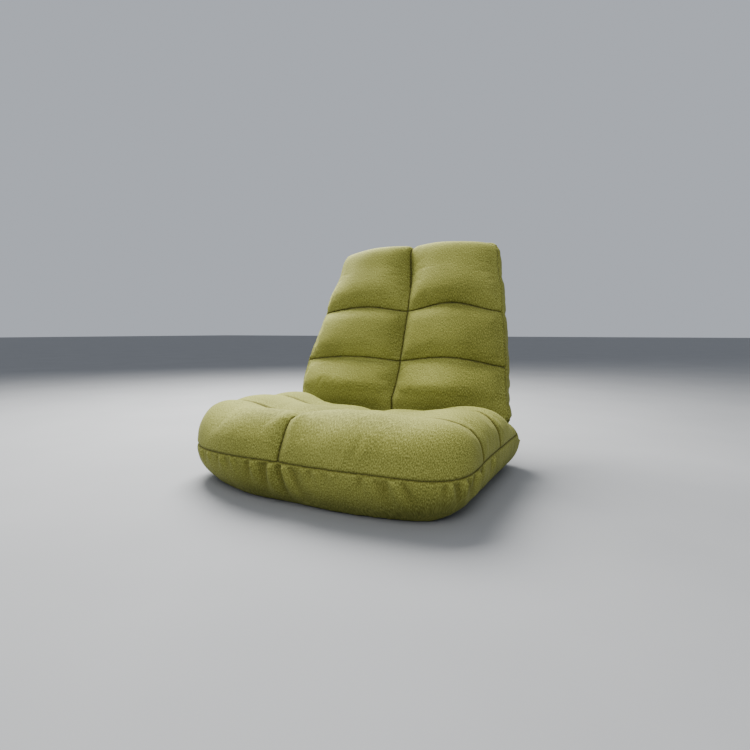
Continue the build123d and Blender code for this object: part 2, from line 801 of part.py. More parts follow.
with BuildPart() as back_rivets:
    for side, sign in sides:
        with Locations(back_plane.offset(back_tube_end + rivet_back_off)):
            with Locations((sign * seat_tube_x, 0, 0)):
                Cylinder(rivet_radius, 2 * tube_radius + 2, rotation=(0, 90, 0))
            for way in (-1, 1):
                with Locations((sign * seat_tube_x + way * (tube_radius + running_fit + 0.75), 0, 0)):
                    Cylinder(rivet_head, 1.5, rotation=(0, 90, 0))
back_rivets.part.label = "back_rivets"
export_step(back_rivets.part, "parts/back_rivets.step")
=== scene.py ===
import bpy
import bmesh
import math
import numpy as np
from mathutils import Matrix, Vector


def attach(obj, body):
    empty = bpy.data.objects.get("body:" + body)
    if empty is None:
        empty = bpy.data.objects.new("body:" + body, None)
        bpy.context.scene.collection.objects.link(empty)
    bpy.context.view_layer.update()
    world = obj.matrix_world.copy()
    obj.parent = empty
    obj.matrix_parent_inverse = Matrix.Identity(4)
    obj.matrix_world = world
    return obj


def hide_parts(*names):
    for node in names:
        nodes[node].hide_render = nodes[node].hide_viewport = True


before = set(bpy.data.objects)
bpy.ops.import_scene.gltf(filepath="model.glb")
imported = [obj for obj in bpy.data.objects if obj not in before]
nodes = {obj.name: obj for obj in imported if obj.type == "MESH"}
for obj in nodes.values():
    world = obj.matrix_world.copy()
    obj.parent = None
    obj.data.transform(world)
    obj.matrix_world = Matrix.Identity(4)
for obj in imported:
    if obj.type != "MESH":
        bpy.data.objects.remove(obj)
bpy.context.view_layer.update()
print("frame loaded:", len(nodes), "nodes")

# hinge line and lean of the back, as in the construction model (metres)
leanAngle = math.radians(20.0)
alongBack = np.array([0.0, math.sin(leanAngle), math.cos(leanAngle)])
outOfBack = np.array([0.0, -math.cos(leanAngle), math.sin(leanAngle)])
hingePoint = np.array([0.0, 0.19, 0.07])
voxelSize = 0.0055
axisX, axisY, axisZ = np.eye(3)


# small numeric helpers

def ramp(low, high, value):
    # 0 at low, 1 at high, smooth between
    t = np.clip((value - low) / (high - low), 0.0, 1.0)
    return t * t * (3.0 - 2.0 * t)


def eased(value, knots):
    # smooth curve through knots (place, height)
    out = np.full_like(value, knots[0][1])
    for (a, p), (b, q) in zip(knots, knots[1:]):
        out += (q - p) * ramp(a, b, value)
    return out


def bell(value, place, spread):
    return np.exp(-((value - place) / spread) ** 2)


def nearest(*distances):
    return np.min(distances, axis=0)


def strongest(*shares):
    return np.max(shares, axis=0)


def latticeNoise(a, b, seed):
    # smooth value noise between -1 and 1
    size = 64
    table = np.random.default_rng(seed).uniform(-1.0, 1.0, (size, size))
    ia, ib = np.floor(a).astype(int), np.floor(b).astype(int)
    fa, fb = a - ia, b - ib
    fa, fb = fa * fa * (3 - 2 * fa), fb * fb * (3 - 2 * fb)

    def across(row):
        return table[ia % size, row % size] * (1 - fa) + table[(ia + 1) % size, row % size] * fa

    return across(ib) * (1 - fb) + across(ib + 1) * fb


def readPoints(mesh, field="co"):
    values = np.empty(len(mesh.vertices) * 3, np.float32)
    mesh.vertices.foreach_get(field, values)
    return values.reshape(-1, 3).astype(float)


def readNormals(mesh):
    return readPoints(mesh, "normal")


def readCorners(mesh):
    index = np.empty(len(mesh.loops), np.int32)
    mesh.loops.foreach_get("vertex_index", index)
    return index


def edgesOf(quads):
    return np.concatenate([quads[:, [0, 1]], quads[:, [1, 2]], quads[:, [2, 3]], quads[:, [3, 0]]])


def writePoints(mesh, co):
    mesh.vertices.foreach_set("co", co.astype(np.float32).ravel())
    mesh.update()


def evaluated(obj):
    # the object's mesh with its modifiers, as a plain mesh
    bpy.context.view_layer.update()
    deps = bpy.context.evaluated_depsgraph_get()
    return bpy.data.meshes.new_from_object(obj.evaluated_get(deps))


def addObject(name, mesh):
    obj = bpy.data.objects.new(name, mesh)
    bpy.context.scene.collection.objects.link(obj)
    return obj


def dropObject(obj):
    mesh = obj.data
    bpy.data.objects.remove(obj)
    bpy.data.meshes.remove(mesh)


# forming a cushion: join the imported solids, remesh, keep the outside

def joinNodes(names, hulls):
    # hulls: point sets, each wrapped in its convex hull
    joined = bmesh.new()
    for name in names:
        joined.from_mesh(nodes[name].data)
    for points in hulls:
        corners = [joined.verts.new(point) for point in points]
        inside = bmesh.ops.convex_hull(joined, input=corners)["geom_interior"]
        loose = [g for g in inside if isinstance(g, bmesh.types.BMVert)]
        bmesh.ops.delete(joined, geom=loose, context="VERTS")
    mesh = bpy.data.meshes.new("joined")
    joined.to_mesh(mesh)
    joined.free()
    return mesh


def keepOuterShell(mesh):
    # the largest connected part
    work = bmesh.new()
    work.from_mesh(mesh)
    shells, left = [], set(work.verts)
    while left:
        front = [left.pop()]
        shell = set(front)
        while front:
            around = {v for edge in front.pop().link_edges for v in edge.verts} - shell
            shell |= around
            front += around
        left -= shell
        shells.append(shell)
    keep = max(shells, key=len)
    bmesh.ops.delete(work, geom=[v for v in work.verts if v not in keep], context="VERTS")
    work.to_mesh(mesh)
    work.free()


def modified(obj, kind, **settings):
    # the object's mesh with one modifier on it
    mod = obj.modifiers.new(kind.lower(), kind)
    for key, value in settings.items():
        setattr(mod, key, value)
    formed = evaluated(obj)
    obj.modifiers.remove(mod)
    return formed


def voxelForm(name, mesh):
    obj = addObject(name, mesh)
    formed = modified(obj, "REMESH", mode="VOXEL", voxel_size=voxelSize)
    dropObject(obj)
    keepOuterShell(formed)
    return addObject(name, formed)


def relax(obj, rounds):
    formed = modified(obj, "SMOOTH", factor=0.5, iterations=rounds)
    writePoints(obj.data, readPoints(formed))
    bpy.data.meshes.remove(formed)


puff = {
    "deflate": 0.002, "frames": 20, "cap": 0.006,
    "cloth": {
        "quality": 4, "mass": 0.25, "tension_stiffness": 8.0, "compression_stiffness": 8.0,
        "shear_stiffness": 3.2, "bending_stiffness": 0.08, "use_pressure": True, "uniform_pressure_force": 4.0,
        "shrink_min": -0.02, "vertex_group_mass": "held",
    },
}


def inflate(obj, held, share):
    # a short cloth run: pressure swells the cover between the held seams, each point's move is capped,
    # and share says how much of the swelling a point keeps
    before = readPoints(obj.data)
    start = before - readNormals(obj.data) * (puff["deflate"] * (1.0 - held))[:, None]
    writePoints(obj.data, start)
    group = obj.vertex_groups.new(name="held")
    for index, weight in enumerate(held):
        if weight > 0.01:
            group.add([index], float(weight), "REPLACE")
    mod = obj.modifiers.new("cover", "CLOTH")
    for key, value in puff["cloth"].items():
        setattr(mod.settings, key, value)
    mod.settings.effector_weights.gravity = 0.0
    mod.collision_settings.use_collision = False
    mod.point_cache.frame_start = 1
    mod.point_cache.frame_end = puff["frames"]
    scene = bpy.context.scene
    for step in range(1, puff["frames"] + 1):
        scene.frame_set(step)
    blown = evaluated(obj)
    move = readPoints(blown) - start
    bpy.data.meshes.remove(blown)
    obj.modifiers.remove(mod)
    scene.frame_set(1)
    obj.vertex_groups.clear()
    size = np.linalg.norm(move, axis=1)
    move *= np.minimum(1.0, puff["cap"] / np.maximum(size, 1e-9))[:, None]
    move *= (1.0 - held)[:, None]
    writePoints(obj.data, before + (start + move - before) * share[:, None])
    print("  swell mean %.1f mm, most %.1f mm" % (size.mean() * 1000, size.max() * 1000))


def subdivide(obj):
    old = obj.data
    obj.data = modified(obj, "SUBSURF", levels=1, render_levels=1)
    bpy.data.meshes.remove(old)


def formCover(name, packed, shape, swell):
    # swell(points, normals): how firmly each point is held, and how much of the swelling it keeps
    obj = voxelForm(name, packed)
    relax(obj, 2)
    writePoints(obj.data, shape(readPoints(obj.data)))
    inflate(obj, *swell(readPoints(obj.data), readNormals(obj.data)))
    subdivide(obj)
    print(name, "formed:", len(obj.data.polygons), "faces")
    return obj


# seams: points next to a seam are set on it, so that panels meet along a clean line

sewing = {
    "onLine": 1e-6, "pathStep": 0.0015, "steepest": 0.35, "puckerSize": (0.009, 0.03), "puckerReach": 0.014,
    "foldFlare": 0.6, "foldOnset": 0.01, "foldValley": (0.55, 1.7), "run": 0.8, "jitter": 0.4, "slant": 0.25,
}


def layOutSeams(co, quads, seams):
    # seams: signed offset, its direction, and which points may move onto it
    starts, ends = edgesOf(quads).T
    for offset, direction, active in seams:
        s = offset(co)
        crossing = (s[starts] * s[ends] < 0) & active[starts] & active[ends]
        a, b = starts[crossing], ends[crossing]
        nearer = np.unique(np.where(abs(s[a]) <= abs(s[b]), a, b))
        co[nearer] -= s[nearer, None] * direction
    # a quad that a seam crosses from corner to corner becomes two triangles, each kept as a quad with a
    # doubled corner
    for offset, direction, active in seams:
        s = offset(co)[quads]
        s[abs(s) < sewing["onLine"]] = 0
        mixed = (s.max(1) > 0) & (s.min(1) < 0)
        first = mixed & (s[:, 0] == 0) & (s[:, 2] == 0)
        second = mixed & (s[:, 1] == 0) & (s[:, 3] == 0)
        q1, q2 = quads[first], quads[second]
        quads = np.concatenate([
            quads[~(first | second)],
            q1[:, [0, 1, 2, 2]], q1[:, [0, 2, 3, 3]],
            q2[:, [1, 2, 3, 3]], q2[:, [1, 3, 0, 0]],
        ])
    return quads


def seamDistance(s, gradient, normals):
    # offset from a seam turned into a distance along the surface
    flat = gradient - (gradient * normals).sum(1, keepdims=True) * normals
    return abs(s) / np.maximum(np.linalg.norm(flat, axis=1), sewing["steepest"])


def grooveShape(distance, width):
    # a round valley with a sharp thread line in it
    return 0.55 * bell(distance, 0.0, width) + 0.45 * np.exp(-distance / (0.5 * width))


def gathers(along, across, spots):
    # short folds that run away from a seam; a spot is (place, height, half width, reach, slant)
    out = np.zeros_like(along)
    valley, valleyPlace = sewing["foldValley"]
    for place, height, half, reach, slant in spots:
        flare = 1.0 + sewing["foldFlare"] * np.clip(across / reach, 0, 2)
        t = (along - place - slant * across) / (half * flare)
        fade = bell(across, 0.0, reach) * ramp(0.0, sewing["foldOnset"], across)
        out += height * (bell(t, 0.0, 1.0) - valley * bell(abs(t), valleyPlace, 1.0)) * fade
    return out


def scatteredSpots(pitch, heights, halves, reaches, seed):
    draw = np.random.default_rng(seed)
    spots = []
    for place in np.arange(-sewing["run"], sewing["run"], pitch):
        spots.append((
            place + draw.uniform(-sewing["jitter"], sewing["jitter"]) * pitch, draw.uniform(*heights),
            draw.uniform(*halves), draw.uniform(*reaches), draw.uniform(-sewing["slant"], sewing["slant"])))
    return spots


def seamPuckers(along, distance, seed):
    # fine creases that the sewing thread draws up beside a seam
    length, depth = sewing["puckerSize"]
    return latticeNoise(along / length, distance / depth, seed) * np.exp(-distance / sewing["puckerReach"])


def seamPaths(co, moved, lines):
    # lines: offset, which of its points are sewn, and their order; gives the moved points along each line
    paths = []
    for offset, isSewn, order in lines:
        index = np.where((abs(offset(co)) < sewing["onLine"]) & isSewn)[0]
        path = moved[index[np.argsort(order[index])]]
        keep = [0]
        for i in range(1, len(path)):
            if np.linalg.norm(path[i] - path[keep[-1]]) > sewing["pathStep"]:
                keep.append(i)
        paths.append(path[keep])
    return paths


# panels: cut a finished cover into its sewn pieces

def takePanel(name, co, extra, quads, normals, backing):
    used, flat = np.unique(quads, return_inverse=True)
    faces = flat.reshape(quads.shape)
    points = co[used]
    uv, paintedShade = extra[0][used], extra[1][used]
    directed = edgesOf(faces)
    directed = directed[directed[:, 0] != directed[:, 1]]
    code = directed[:, 0].astype(np.int64) * len(points) + directed[:, 1]
    opposite = directed[:, 1].astype(np.int64) * len(points) + directed[:, 0]
    rim = directed[~np.isin(code, opposite)]
    count = len(points)
    polys = [tuple(dict.fromkeys(face)) for face in faces.tolist()]
    if "apex" in backing:
        points = np.vstack([points, backing["apex"](points[np.unique(rim)])])
        polys += [(b, a, count) for a, b in rim.tolist()]
        uv = np.vstack([uv, uv.mean(0)])
        paintedShade = np.append(paintedShade, 1.0)
    else:
        points = np.vstack([points, points - normals[used] * backing["thickness"]])
        polys += [tuple(i + count for i in reversed(p)) for p in polys]
        polys += [(b, a, a + count, b + count) for a, b in rim.tolist()]
        uv = np.vstack([uv, uv])
        paintedShade = np.append(paintedShade, paintedShade)
    mesh = bpy.data.meshes.new(name)
    mesh.from_pydata(points.tolist(), [], polys)
    mesh.validate()
    layer = mesh.uv_layers.new(name="weave")
    layer.data.foreach_set("uv", uv[readCorners(mesh)].astype(np.float32).ravel())
    # the painted shade of each point, stored for the cloth colour
    shade = mesh.attributes.new("paintedShade", "FLOAT", "POINT")
    shade.data.foreach_set("value", paintedShade.astype(np.float32))
    mesh.polygons.foreach_set("use_smooth", np.ones(len(mesh.polygons), bool))
    mesh.update()
    return addObject(name, mesh)


# materials

def newMaterial(name):
    material = bpy.data.materials.new(name)
    material.use_nodes = True
    tree = material.node_tree
    return material, tree, tree.nodes["Principled BSDF"]


def addNode(tree, kind, **values):
    node = tree.nodes.new(kind)
    for key, value in values.items():
        if hasattr(node, key):
            setattr(node, key, value)
        else:
            node.inputs[key].default_value = value
    return node


def addMath(tree, operation, *values):
    # values: sockets to link, or constants
    node = addNode(tree, "ShaderNodeMath", operation=operation)
    for slot, value in zip(node.inputs, values):
        if isinstance(value, float):
            slot.default_value = value
        else:
            tree.links.new(value, slot)
    return node.outputs[0]


def addNoise(tree, source, scale, detail, roughness):
    # scale: one for each axis, in waves per metre
    mapping = addNode(tree, "ShaderNodeMapping", Scale=scale)
    noise = addNode(tree, "ShaderNodeTexNoise", Scale=1.0, Detail=detail, Roughness=roughness)
    tree.links.new(source, mapping.inputs["Vector"])
    tree.links.new(mapping.outputs["Vector"], noise.inputs["Vector"])
    return noise.outputs["Fac"]


def addRamp(tree, source, stops):
    node = addNode(tree, "ShaderNodeValToRGB")
    elements = node.color_ramp.elements
    elements[0].position, elements[0].color = stops[0]
    elements[1].position, elements[1].color = stops[-1]
    for position, color in stops[1:-1]:
        elements.new(position).color = color
    tree.links.new(source, node.inputs["Fac"])
    return node.outputs["Color"]


def setSurface(tree, shader, grain, roughness, height, bump):
    # roughness follows the grain between two values, and height drives the bump
    span = addNode(tree, "ShaderNodeMapRange", **{"To Min": roughness[0], "To Max": roughness[1]})
    tree.links.new(grain, span.inputs["Value"])
    tree.links.new(span.outputs["Result"], shader.inputs["Roughness"])
    relief = addNode(tree, "ShaderNodeBump", Strength=bump[0], Distance=bump[1])
    tree.links.new(height, relief.inputs["Height"])
    tree.links.new(relief.outputs["Normal"], shader.inputs["Normal"])


coverCloth = {
    "stops": [
        (0.68, (0.098, 0.1, 0.018, 1.0)),
        (0.86, (0.172, 0.176, 0.036, 1.0)),
        (1.0, (0.282, 0.288, 0.075, 1.0)),
    ],
    # colour multiplied into the cloth where shade is painted in the seam and fold valleys
    "valley": (0.38, 0.34, 0.22, 1.0),
    "threadWaves": 0.314 / 0.0013,
    "slubs": (700.0, 235.0, 1.0),
    "flecks": (1400.0, 480.0, 1.0),
    "patches": (7.0, 7.0, 7.0),
    "fleckShare": 0.55, "patchShare": 0.35, "tone": 0.9,
    "bump": (0.11, 0.0004),
    "roughness": (0.72, 0.95),
    "specular": 0.08,
    "sheen": {"Weight": 0.1, "Roughness": 0.4, "Tint": (0.75, 0.76, 0.35, 1.0)},
}


def makeCoverCloth():
    material, tree, shader = newMaterial("coverCloth")
    links = tree.links
    coords = addNode(tree, "ShaderNodeUVMap", uv_map="weave").outputs["UV"]
    place = addNode(tree, "ShaderNodeTexCoord").outputs["Object"]
    slubs = addNoise(tree, coords, coverCloth["slubs"], 1.0, 0.5)
    flecks = addNoise(tree, coords, coverCloth["flecks"], 2.0, 0.7)
    patches = addNoise(tree, place, coverCloth["patches"], 3.0, 0.5)
    fine = addMath(tree, "MULTIPLY_ADD", flecks, coverCloth["fleckShare"], slubs)
    mixed = addMath(tree, "MULTIPLY_ADD", patches, coverCloth["patchShare"], fine)
    color = addRamp(tree, addMath(tree, "MULTIPLY", mixed, coverCloth["tone"]), coverCloth["stops"])
    # painted shade: the sewn valleys and the fold valleys are darkened, as they take less light
    paintedShade = addNode(tree, "ShaderNodeAttribute", attribute_name="paintedShade")
    dark = addNode(tree, "ShaderNodeMix", data_type="RGBA", blend_type="MULTIPLY")
    dark.inputs["B"].default_value = coverCloth["valley"]
    links.new(paintedShade.outputs["Fac"], dark.inputs["Factor"])
    links.new(color, dark.inputs["A"])
    links.new(dark.outputs["Result"], shader.inputs["Base Color"])
    # plain weave: two crossed thread waves
    threads = []
    for direction in ("X", "Y"):
        wave = addNode(tree, "ShaderNodeTexWave", bands_direction=direction, Scale=coverCloth["threadWaves"],
                       Distortion=0.6)
        links.new(coords, wave.inputs["Vector"])
        threads.append(wave.outputs["Fac"])
    height = addMath(tree, "ADD", addMath(tree, "MAXIMUM", *threads), fine)
    setSurface(tree, shader, slubs, coverCloth["roughness"], height, coverCloth["bump"])
    shader.inputs["Specular IOR Level"].default_value = coverCloth["specular"]
    for key, value in coverCloth["sheen"].items():
        shader.inputs["Sheen " + key].default_value = value
    return material


# dark and light colour, grain, roughness, metallic, bump height
finishes = {
    "undersideCloth": (
        (0.012, 0.012, 0.011, 1), (0.04, 0.04, 0.037, 1), (600, 600, 600), (0.85, 1.0), 0.0, 0.0004),
    "frameSteel": ((0.012, 0.012, 0.012, 1), (0.03, 0.03, 0.03, 1), (180, 180, 180), (0.3, 0.5), 0.0, 0.0002),
    "platedSteel": ((0.42, 0.42, 0.4, 1), (0.62, 0.62, 0.59, 1), (90, 500, 500), (0.25, 0.42), 1.0, 0.0001),
    "webbingCloth": ((0.42, 0.4, 0.36, 1), (0.66, 0.64, 0.58, 1), (250, 1400, 1400), (0.8, 0.95), 0.0, 0.0003),
    "feltCloth": ((0.16, 0.16, 0.16, 1), (0.36, 0.36, 0.36, 1), (420, 420, 420), (0.9, 1.0), 0.0, 0.0006),
    "thread": ((0.06, 0.056, 0.012, 1), (0.105, 0.1, 0.024, 1), (900, 900, 900), (0.6, 0.8), 0.0, 0.0001),
}


def makeFinish(name):
    # noise in colour, roughness and height
    low, high, scale, roughness, metallic, bumpHeight = finishes[name]
    material, tree, shader = newMaterial(name)
    place = addNode(tree, "ShaderNodeTexCoord").outputs["Object"]
    grain = addNoise(tree, place, scale, 4.0, 0.6)
    tree.links.new(addRamp(tree, grain, [(0.35, low), (0.65, high)]), shader.inputs["Base Color"])
    setSurface(tree, shader, grain, roughness, grain, (0.4, bumpHeight))
    shader.inputs["Metallic"].default_value = metallic
    return material


coverMaterial = makeCoverCloth()
finish = {name: makeFinish(name) for name in finishes}
print("materials made")


# pieces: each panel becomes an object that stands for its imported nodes

coverParts = {
    "thickness": 0.004,
    "stands": {
        "seat_rear_cloth": ("seat_upper_foam", "seat_lower_foam"),
        "back_gusset": ("back_gusset", "back_front_foam"),
        "back_rear_panel": ("back_rear_panel", "back_rear_foam"),
    },
}


def makePieces(body, padApex, dressed):
    co, quads, normals, weave, paintedShade, label = dressed
    faces = {}
    for name in sorted(set(label.tolist())):
        isUnder = name == "seat_underside"
        backing = {"apex": padApex} if "_pad_" in name else {"thickness": coverParts["thickness"]}
        uv = weave.get(name, weave["cover"])
        piece = takePanel(name + "_cover", co, (uv, paintedShade), quads[label == name], normals, backing)
        piece.data.materials.append(finish["undersideCloth"] if isUnder else coverMaterial)
        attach(piece, body)
        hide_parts(*coverParts["stands"].get(name, (name,)))
        faces[name] = len(piece.data.polygons)
    print(body, "pieces:", faces)


# seat cover

seat = {
    # seam lines
    "rimZ": 0.091, "rearY": 0.14, "cheekX": 0.2525, "rowOneY": -0.15, "rowTwoY": 0.0,
    "borderSplitY": -0.15,
    "rowOneLeft": [(0.0, -0.012), (0.13, 0.008), (0.26, -0.012), (0.33, 0.005)],
    "rowOneRight": [(0.0, -0.012), (0.27, 0.01), (0.33, 0.005)],
    "rowTwoBoth": [(0.0, 0.0), (0.24, 0.012), (0.335, -0.018)],
    "middleShift": {"by": 0.007, "y": (-0.06, 0.08)},
    "seamSlack": 0.004, "upright": 0.6, "frontFacing": 0.75,
    # form
    "cheekGrow": 1.06, "wingEndY": 0.095,
    # height, bells (place, spread) and ramps (from, to): lip, wings, rows, dip, crease, ends of the cheeks
    "rises": [
        (0.002, {"y": (-0.272, 0.036)}, {"z": (0.1, 0.15)}),
        (0.014, {"x": (0.0, 0.045), "y": (-0.272, 0.036)}, {"z": (0.1, 0.15)}),
        (0.011, {"y": (0.1, 0.045)}, {"right": (0.16, 0.25), "z": (0.1, 0.13)}),
        (0.002, {"y": (0.1, 0.045)}, {"x": (0.16, 0.25), "z": (0.1, 0.13)}),
        (0.004, {"y": (-0.15, 0.014)}, {"z": (0.1, 0.13)}),
        (0.007, {"y": (0.0, 0.014)}, {"z": (0.1, 0.13)}),
        (-0.019, {"x": (-0.085, 0.08), "y": (-0.18, 0.048)}, {"z": (0.1, 0.13)}),
        (0.009, {"y": (0.092, 0.03)}, {"half": (0.28, 0.2), "z": (0.08, 0.1)}),
        (-0.022, {}, {"half": (0.278, 0.325), "y": (0.13, 0.19), "z": (0.06, 0.1)}),
    ],
    "softCorner": {"move": 0.02, "droop": 0.009, "x": -0.27, "y": -0.26, "spread": 0.085},
    "fullCorner": {"move": 0.012, "droop": 0.005, "x": 0.29, "y": -0.25, "spread": 0.06},
    "cornerBand": ((0.0, 0.08), (0.1, 0.17)),
    "cornerWay": (0.69, 0.72),
    "rearNarrow": {"share": 0.042, "y": (0.05, 0.17), "z": (0.09, 0.13)},
    "rearRound": {
        "x": 0.255, "y": 0.15, "wide": 0.075, "deep": 0.1, "amount": 0.9, "tuck": 1.3, "z": (0.004, 0.03),
    },
    # swelling
    "puffShare": 0.4, "heldQuilt": 0.009, "heldRim": 0.007,
    "heldRearY": (0.105, 0.125),
    "floorZ": (0.004, 0.02),
    # valleys and wadding
    "rowDepth": 0.0036, "rowDepthFar": 0.006,
    "farX": (-0.07, -0.01),
    "middleDepth": 0.0095, "middleWidth": 0.00975, "quiltWidth": 0.0065, "rimDepth": 0.0042,
    "rimWidth": 0.0042, "splitDepth": 0.003, "splitFromX": 0.2, "padWadding": 0.002,
    "waddingReach": 0.045, "waddingEndY": 0.1, "puckerHeight": 0.0007,
    "uneven": {"height": 0.0009, "size": (0.05, 0.06, 0.05), "shift": 9},
    "lowestZ": 0.0004, "apexZ": 0.0945,
    # painted shade: dark lines along the seams and in the fold valleys
    "rowShade": 0.0016, "rowShadeFar": 0.003, "rowShadeSpread": 0.55, "quiltLine": 0.0021,
    "rimLine": 0.0019,
    "foldShade": (0.5, 0.003),
    # stitches and weave
    "stitchEndY": 0.11, "rimCentreY": -0.05,
    "weave": {"topZ": 0.16, "x": (0.23, 0.33), "y": (-0.13, -0.3), "drop": 1.3, "sideX": 0.29, "frontY": 0.26},
    # folds beside the rim
    "rimCorner": {"x": (0.2, 0.33), "y": -0.3},
    "foldFloor": 0.015, "gatherScale": 3.1,
    "gathersBelow": [
        (-0.25, 0.0014, 0.006, 0.022, 0.1), (-0.205, 0.0013, 0.006, 0.02, 0.1),
        (-0.152, 0.0018, 0.006, 0.024, 0.0), (-0.117, 0.0015, 0.005, 0.02, 0.1),
        (-0.06, 0.0026, 0.007, 0.038, 0.1), (-0.014, 0.0038, 0.009, 0.052, -0.1),
        (0.01, 0.003, 0.008, 0.05, 0.15), (0.054, 0.0016, 0.005, 0.018, 0.0),
        (0.081, 0.0014, 0.005, 0.017, 0.0), (0.114, 0.0013, 0.004, 0.015, 0.1),
        (0.181, 0.0018, 0.006, 0.024, 0.0), (0.224, 0.0024, 0.008, 0.038, 0.2),
        (0.345, 0.002, 0.007, 0.032, 0.3), (0.388, 0.0024, 0.008, 0.036, 0.35),
        (0.45, 0.0022, 0.009, 0.04, 0.2), (0.56, 0.0018, 0.008, 0.034, 0.1),
        (-0.42, 0.002, 0.008, 0.036, -0.2), (-0.54, 0.0018, 0.008, 0.034, -0.1),
    ],
    "gathersAbove": [
        (0.126, 0.002, 0.005, 0.032, 0.35), (0.153, 0.002, 0.006, 0.034, 0.3),
        (0.168, 0.0011, 0.004, 0.02, 0.2), (0.196, 0.001, 0.004, 0.018, 0.1),
        (-0.095, 0.0009, 0.004, 0.016, 0.0), (0.036, 0.0009, 0.004, 0.016, 0.2),
    ],
    # pitch, heights, half widths, reaches, seed
    "smallBelow": (0.021, (0.0004, 0.0012), (0.003, 0.005), (0.01, 0.024), 11),
    "smallAbove": (0.027, (0.0002, 0.0007), (0.003, 0.005), (0.006, 0.013), 12),
}
seatNodes = [n for n in nodes if n.startswith(("seat_pad", "seat_border"))]
seatNodes += ["seat_upper_foam", "seat_lower_foam", "seat_underside"]


def cheekHulls():
    # soft filling round each hinge, and the slack cloth between it and the end of the wing
    hulls = []
    for side in ("left", "right"):
        cheek = readPoints(nodes["hinge_cheek_" + side].data)
        grown = cheek.copy()
        grown[:, 1:] = hingePoint[1:] + (cheek[:, 1:] - hingePoint[1:]) * seat["cheekGrow"]
        pad = readPoints(nodes["seat_pad_rear_" + side].data)
        wingEnd = pad[(abs(pad[:, 0]) > seat["cheekX"]) & (pad[:, 1] > seat["wingEndY"])]
        hulls += [grown, np.vstack([cheek, wingEnd])]
    return hulls


def rowOneOffset(co):
    x = co[:, 0]
    bow = np.where(x > 0, eased(x, seat["rowOneLeft"]), eased(-x, seat["rowOneRight"]))
    return co[:, 1] - seat["rowOneY"] - bow


def rowTwoOffset(co):
    return co[:, 1] - seat["rowTwoY"] - eased(abs(co[:, 0]), seat["rowTwoBoth"])


def middleOffset(co):
    shift = seat["middleShift"]
    return co[:, 0] + shift["by"] * (1.0 - ramp(*shift["y"], co[:, 1]))


def rearOffset(co):
    return co[:, 1] - seat["rearY"]


def splitOffset(co):
    return co[:, 1] - seat["borderSplitY"]


def cornerShare(co, corner):
    square = (co[:, 0] - corner["x"]) ** 2 + (co[:, 1] - corner["y"]) ** 2
    return np.exp(-square / (2 * corner["spread"] ** 2))


def rimOffset(co):
    soft, full = seat["softCorner"], seat["fullCorner"]
    sag = soft["droop"] * cornerShare(co, soft) + full["droop"] * cornerShare(co, full)
    return co[:, 2] - seat["rimZ"] + sag


def rimRun(co):
    # runs along the rim: across the front, then back along each side
    corner = seat["rimCorner"]
    turn = ramp(*corner["x"], abs(co[:, 0]))
    return co[:, 0] + np.sign(co[:, 0]) * turn * (co[:, 1] - corner["y"])


def roundRear(co):
    # the two rear corners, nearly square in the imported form, made round in plan
    form = seat["rearRound"]
    a = np.clip((abs(co[:, 0]) - form["x"]) / form["wide"], 0, None)
    b = np.clip((co[:, 1] - form["y"]) / form["deep"], 0, None)
    inner = (a > 0) & (b > 0)
    round4 = (a ** 4 + b ** 4 + 1e-12) ** 0.25 / np.sqrt(a ** 2 + b ** 2 + 1e-12)
    amount = form["amount"] + form["tuck"] * (1.0 - ramp(*form["z"], co[:, 2]))
    shrink = 1.0 - amount * (1.0 - np.minimum(round4, 1.0))
    out = co.copy()
    out[inner, 0] = np.sign(co[inner, 0]) * (form["x"] + a[inner] * form["wide"] * shrink[inner])
    out[inner, 1] = form["y"] + b[inner] * form["deep"] * shrink[inner]
    return out


def shapeSeat(co):
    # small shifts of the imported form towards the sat-in cushion: fuller lip, higher wings, one soft corner,
    # one full corner, one dip
    x, y, z = co.T
    values = {"x": x, "right": -x, "half": abs(x), "y": y, "z": z}
    rise = np.zeros(len(co))
    for height, bells, ramps in seat["rises"]:
        share = np.full(len(co), height)
        for axis, (place, spread) in bells.items():
            share *= bell(values[axis], place, spread)
        for axis, (low, high) in ramps.items():
            share *= ramp(low, high, values[axis])
        rise += share
    start, stop = seat["cornerBand"]
    band = ramp(*start, z) * (1.0 - ramp(*stop, z))
    soft, full = seat["softCorner"], seat["fullCorner"]
    softShare, fullShare = cornerShare(co, soft), cornerShare(co, full) * band
    rise -= soft["droop"] * softShare * band + full["droop"] * fullShare
    pull, push = soft["move"] * softShare, full["move"] * fullShare
    wayX, wayY = seat["cornerWay"]
    rear = seat["rearNarrow"]
    narrow = -x * rear["share"] * ramp(*rear["y"], y) * ramp(*rear["z"], z)
    return roundRear(co) + np.stack([wayX * (pull + push) + narrow, wayY * (pull - push), rise], axis=1)


def seatSeams(co, normals):
    # distance to each sewn line of the seat, and where it runs
    slack = seat["seamSlack"]
    above = ramp(-slack, slack, rimOffset(co)) * (co[:, 1] < seat["rearY"])
    middle = seamDistance(middleOffset(co), axisX, normals)
    rowOne = seamDistance(rowOneOffset(co), axisY, normals)
    rowTwo = seamDistance(rowTwoOffset(co), axisY, normals)
    rim = seamDistance(rimOffset(co), axisZ, normals)
    outside = (co[:, 1] < seat["rearY"]) & (normals[:, 1] < seat["frontFacing"])
    return above, middle, rowOne, rowTwo, rim, outside


def swellSeat(co, normals):
    above, middle, rowOne, rowTwo, rim, outside = seatSeams(co, normals)
    held = strongest(
        above * bell(nearest(middle, rowOne, rowTwo), 0.0, seat["heldQuilt"]),
        outside * bell(rim, 0.0, seat["heldRim"]),
        1.0 - ramp(*seat["floorZ"], co[:, 2]),
        ramp(*seat["heldRearY"], co[:, 1]),
    )
    return np.clip(held, 0, 1), np.full(len(co), seat["puffShare"])


seatBlank = formCover("seatCover", joinNodes(seatNodes, cheekHulls()), shapeSeat, swellSeat)


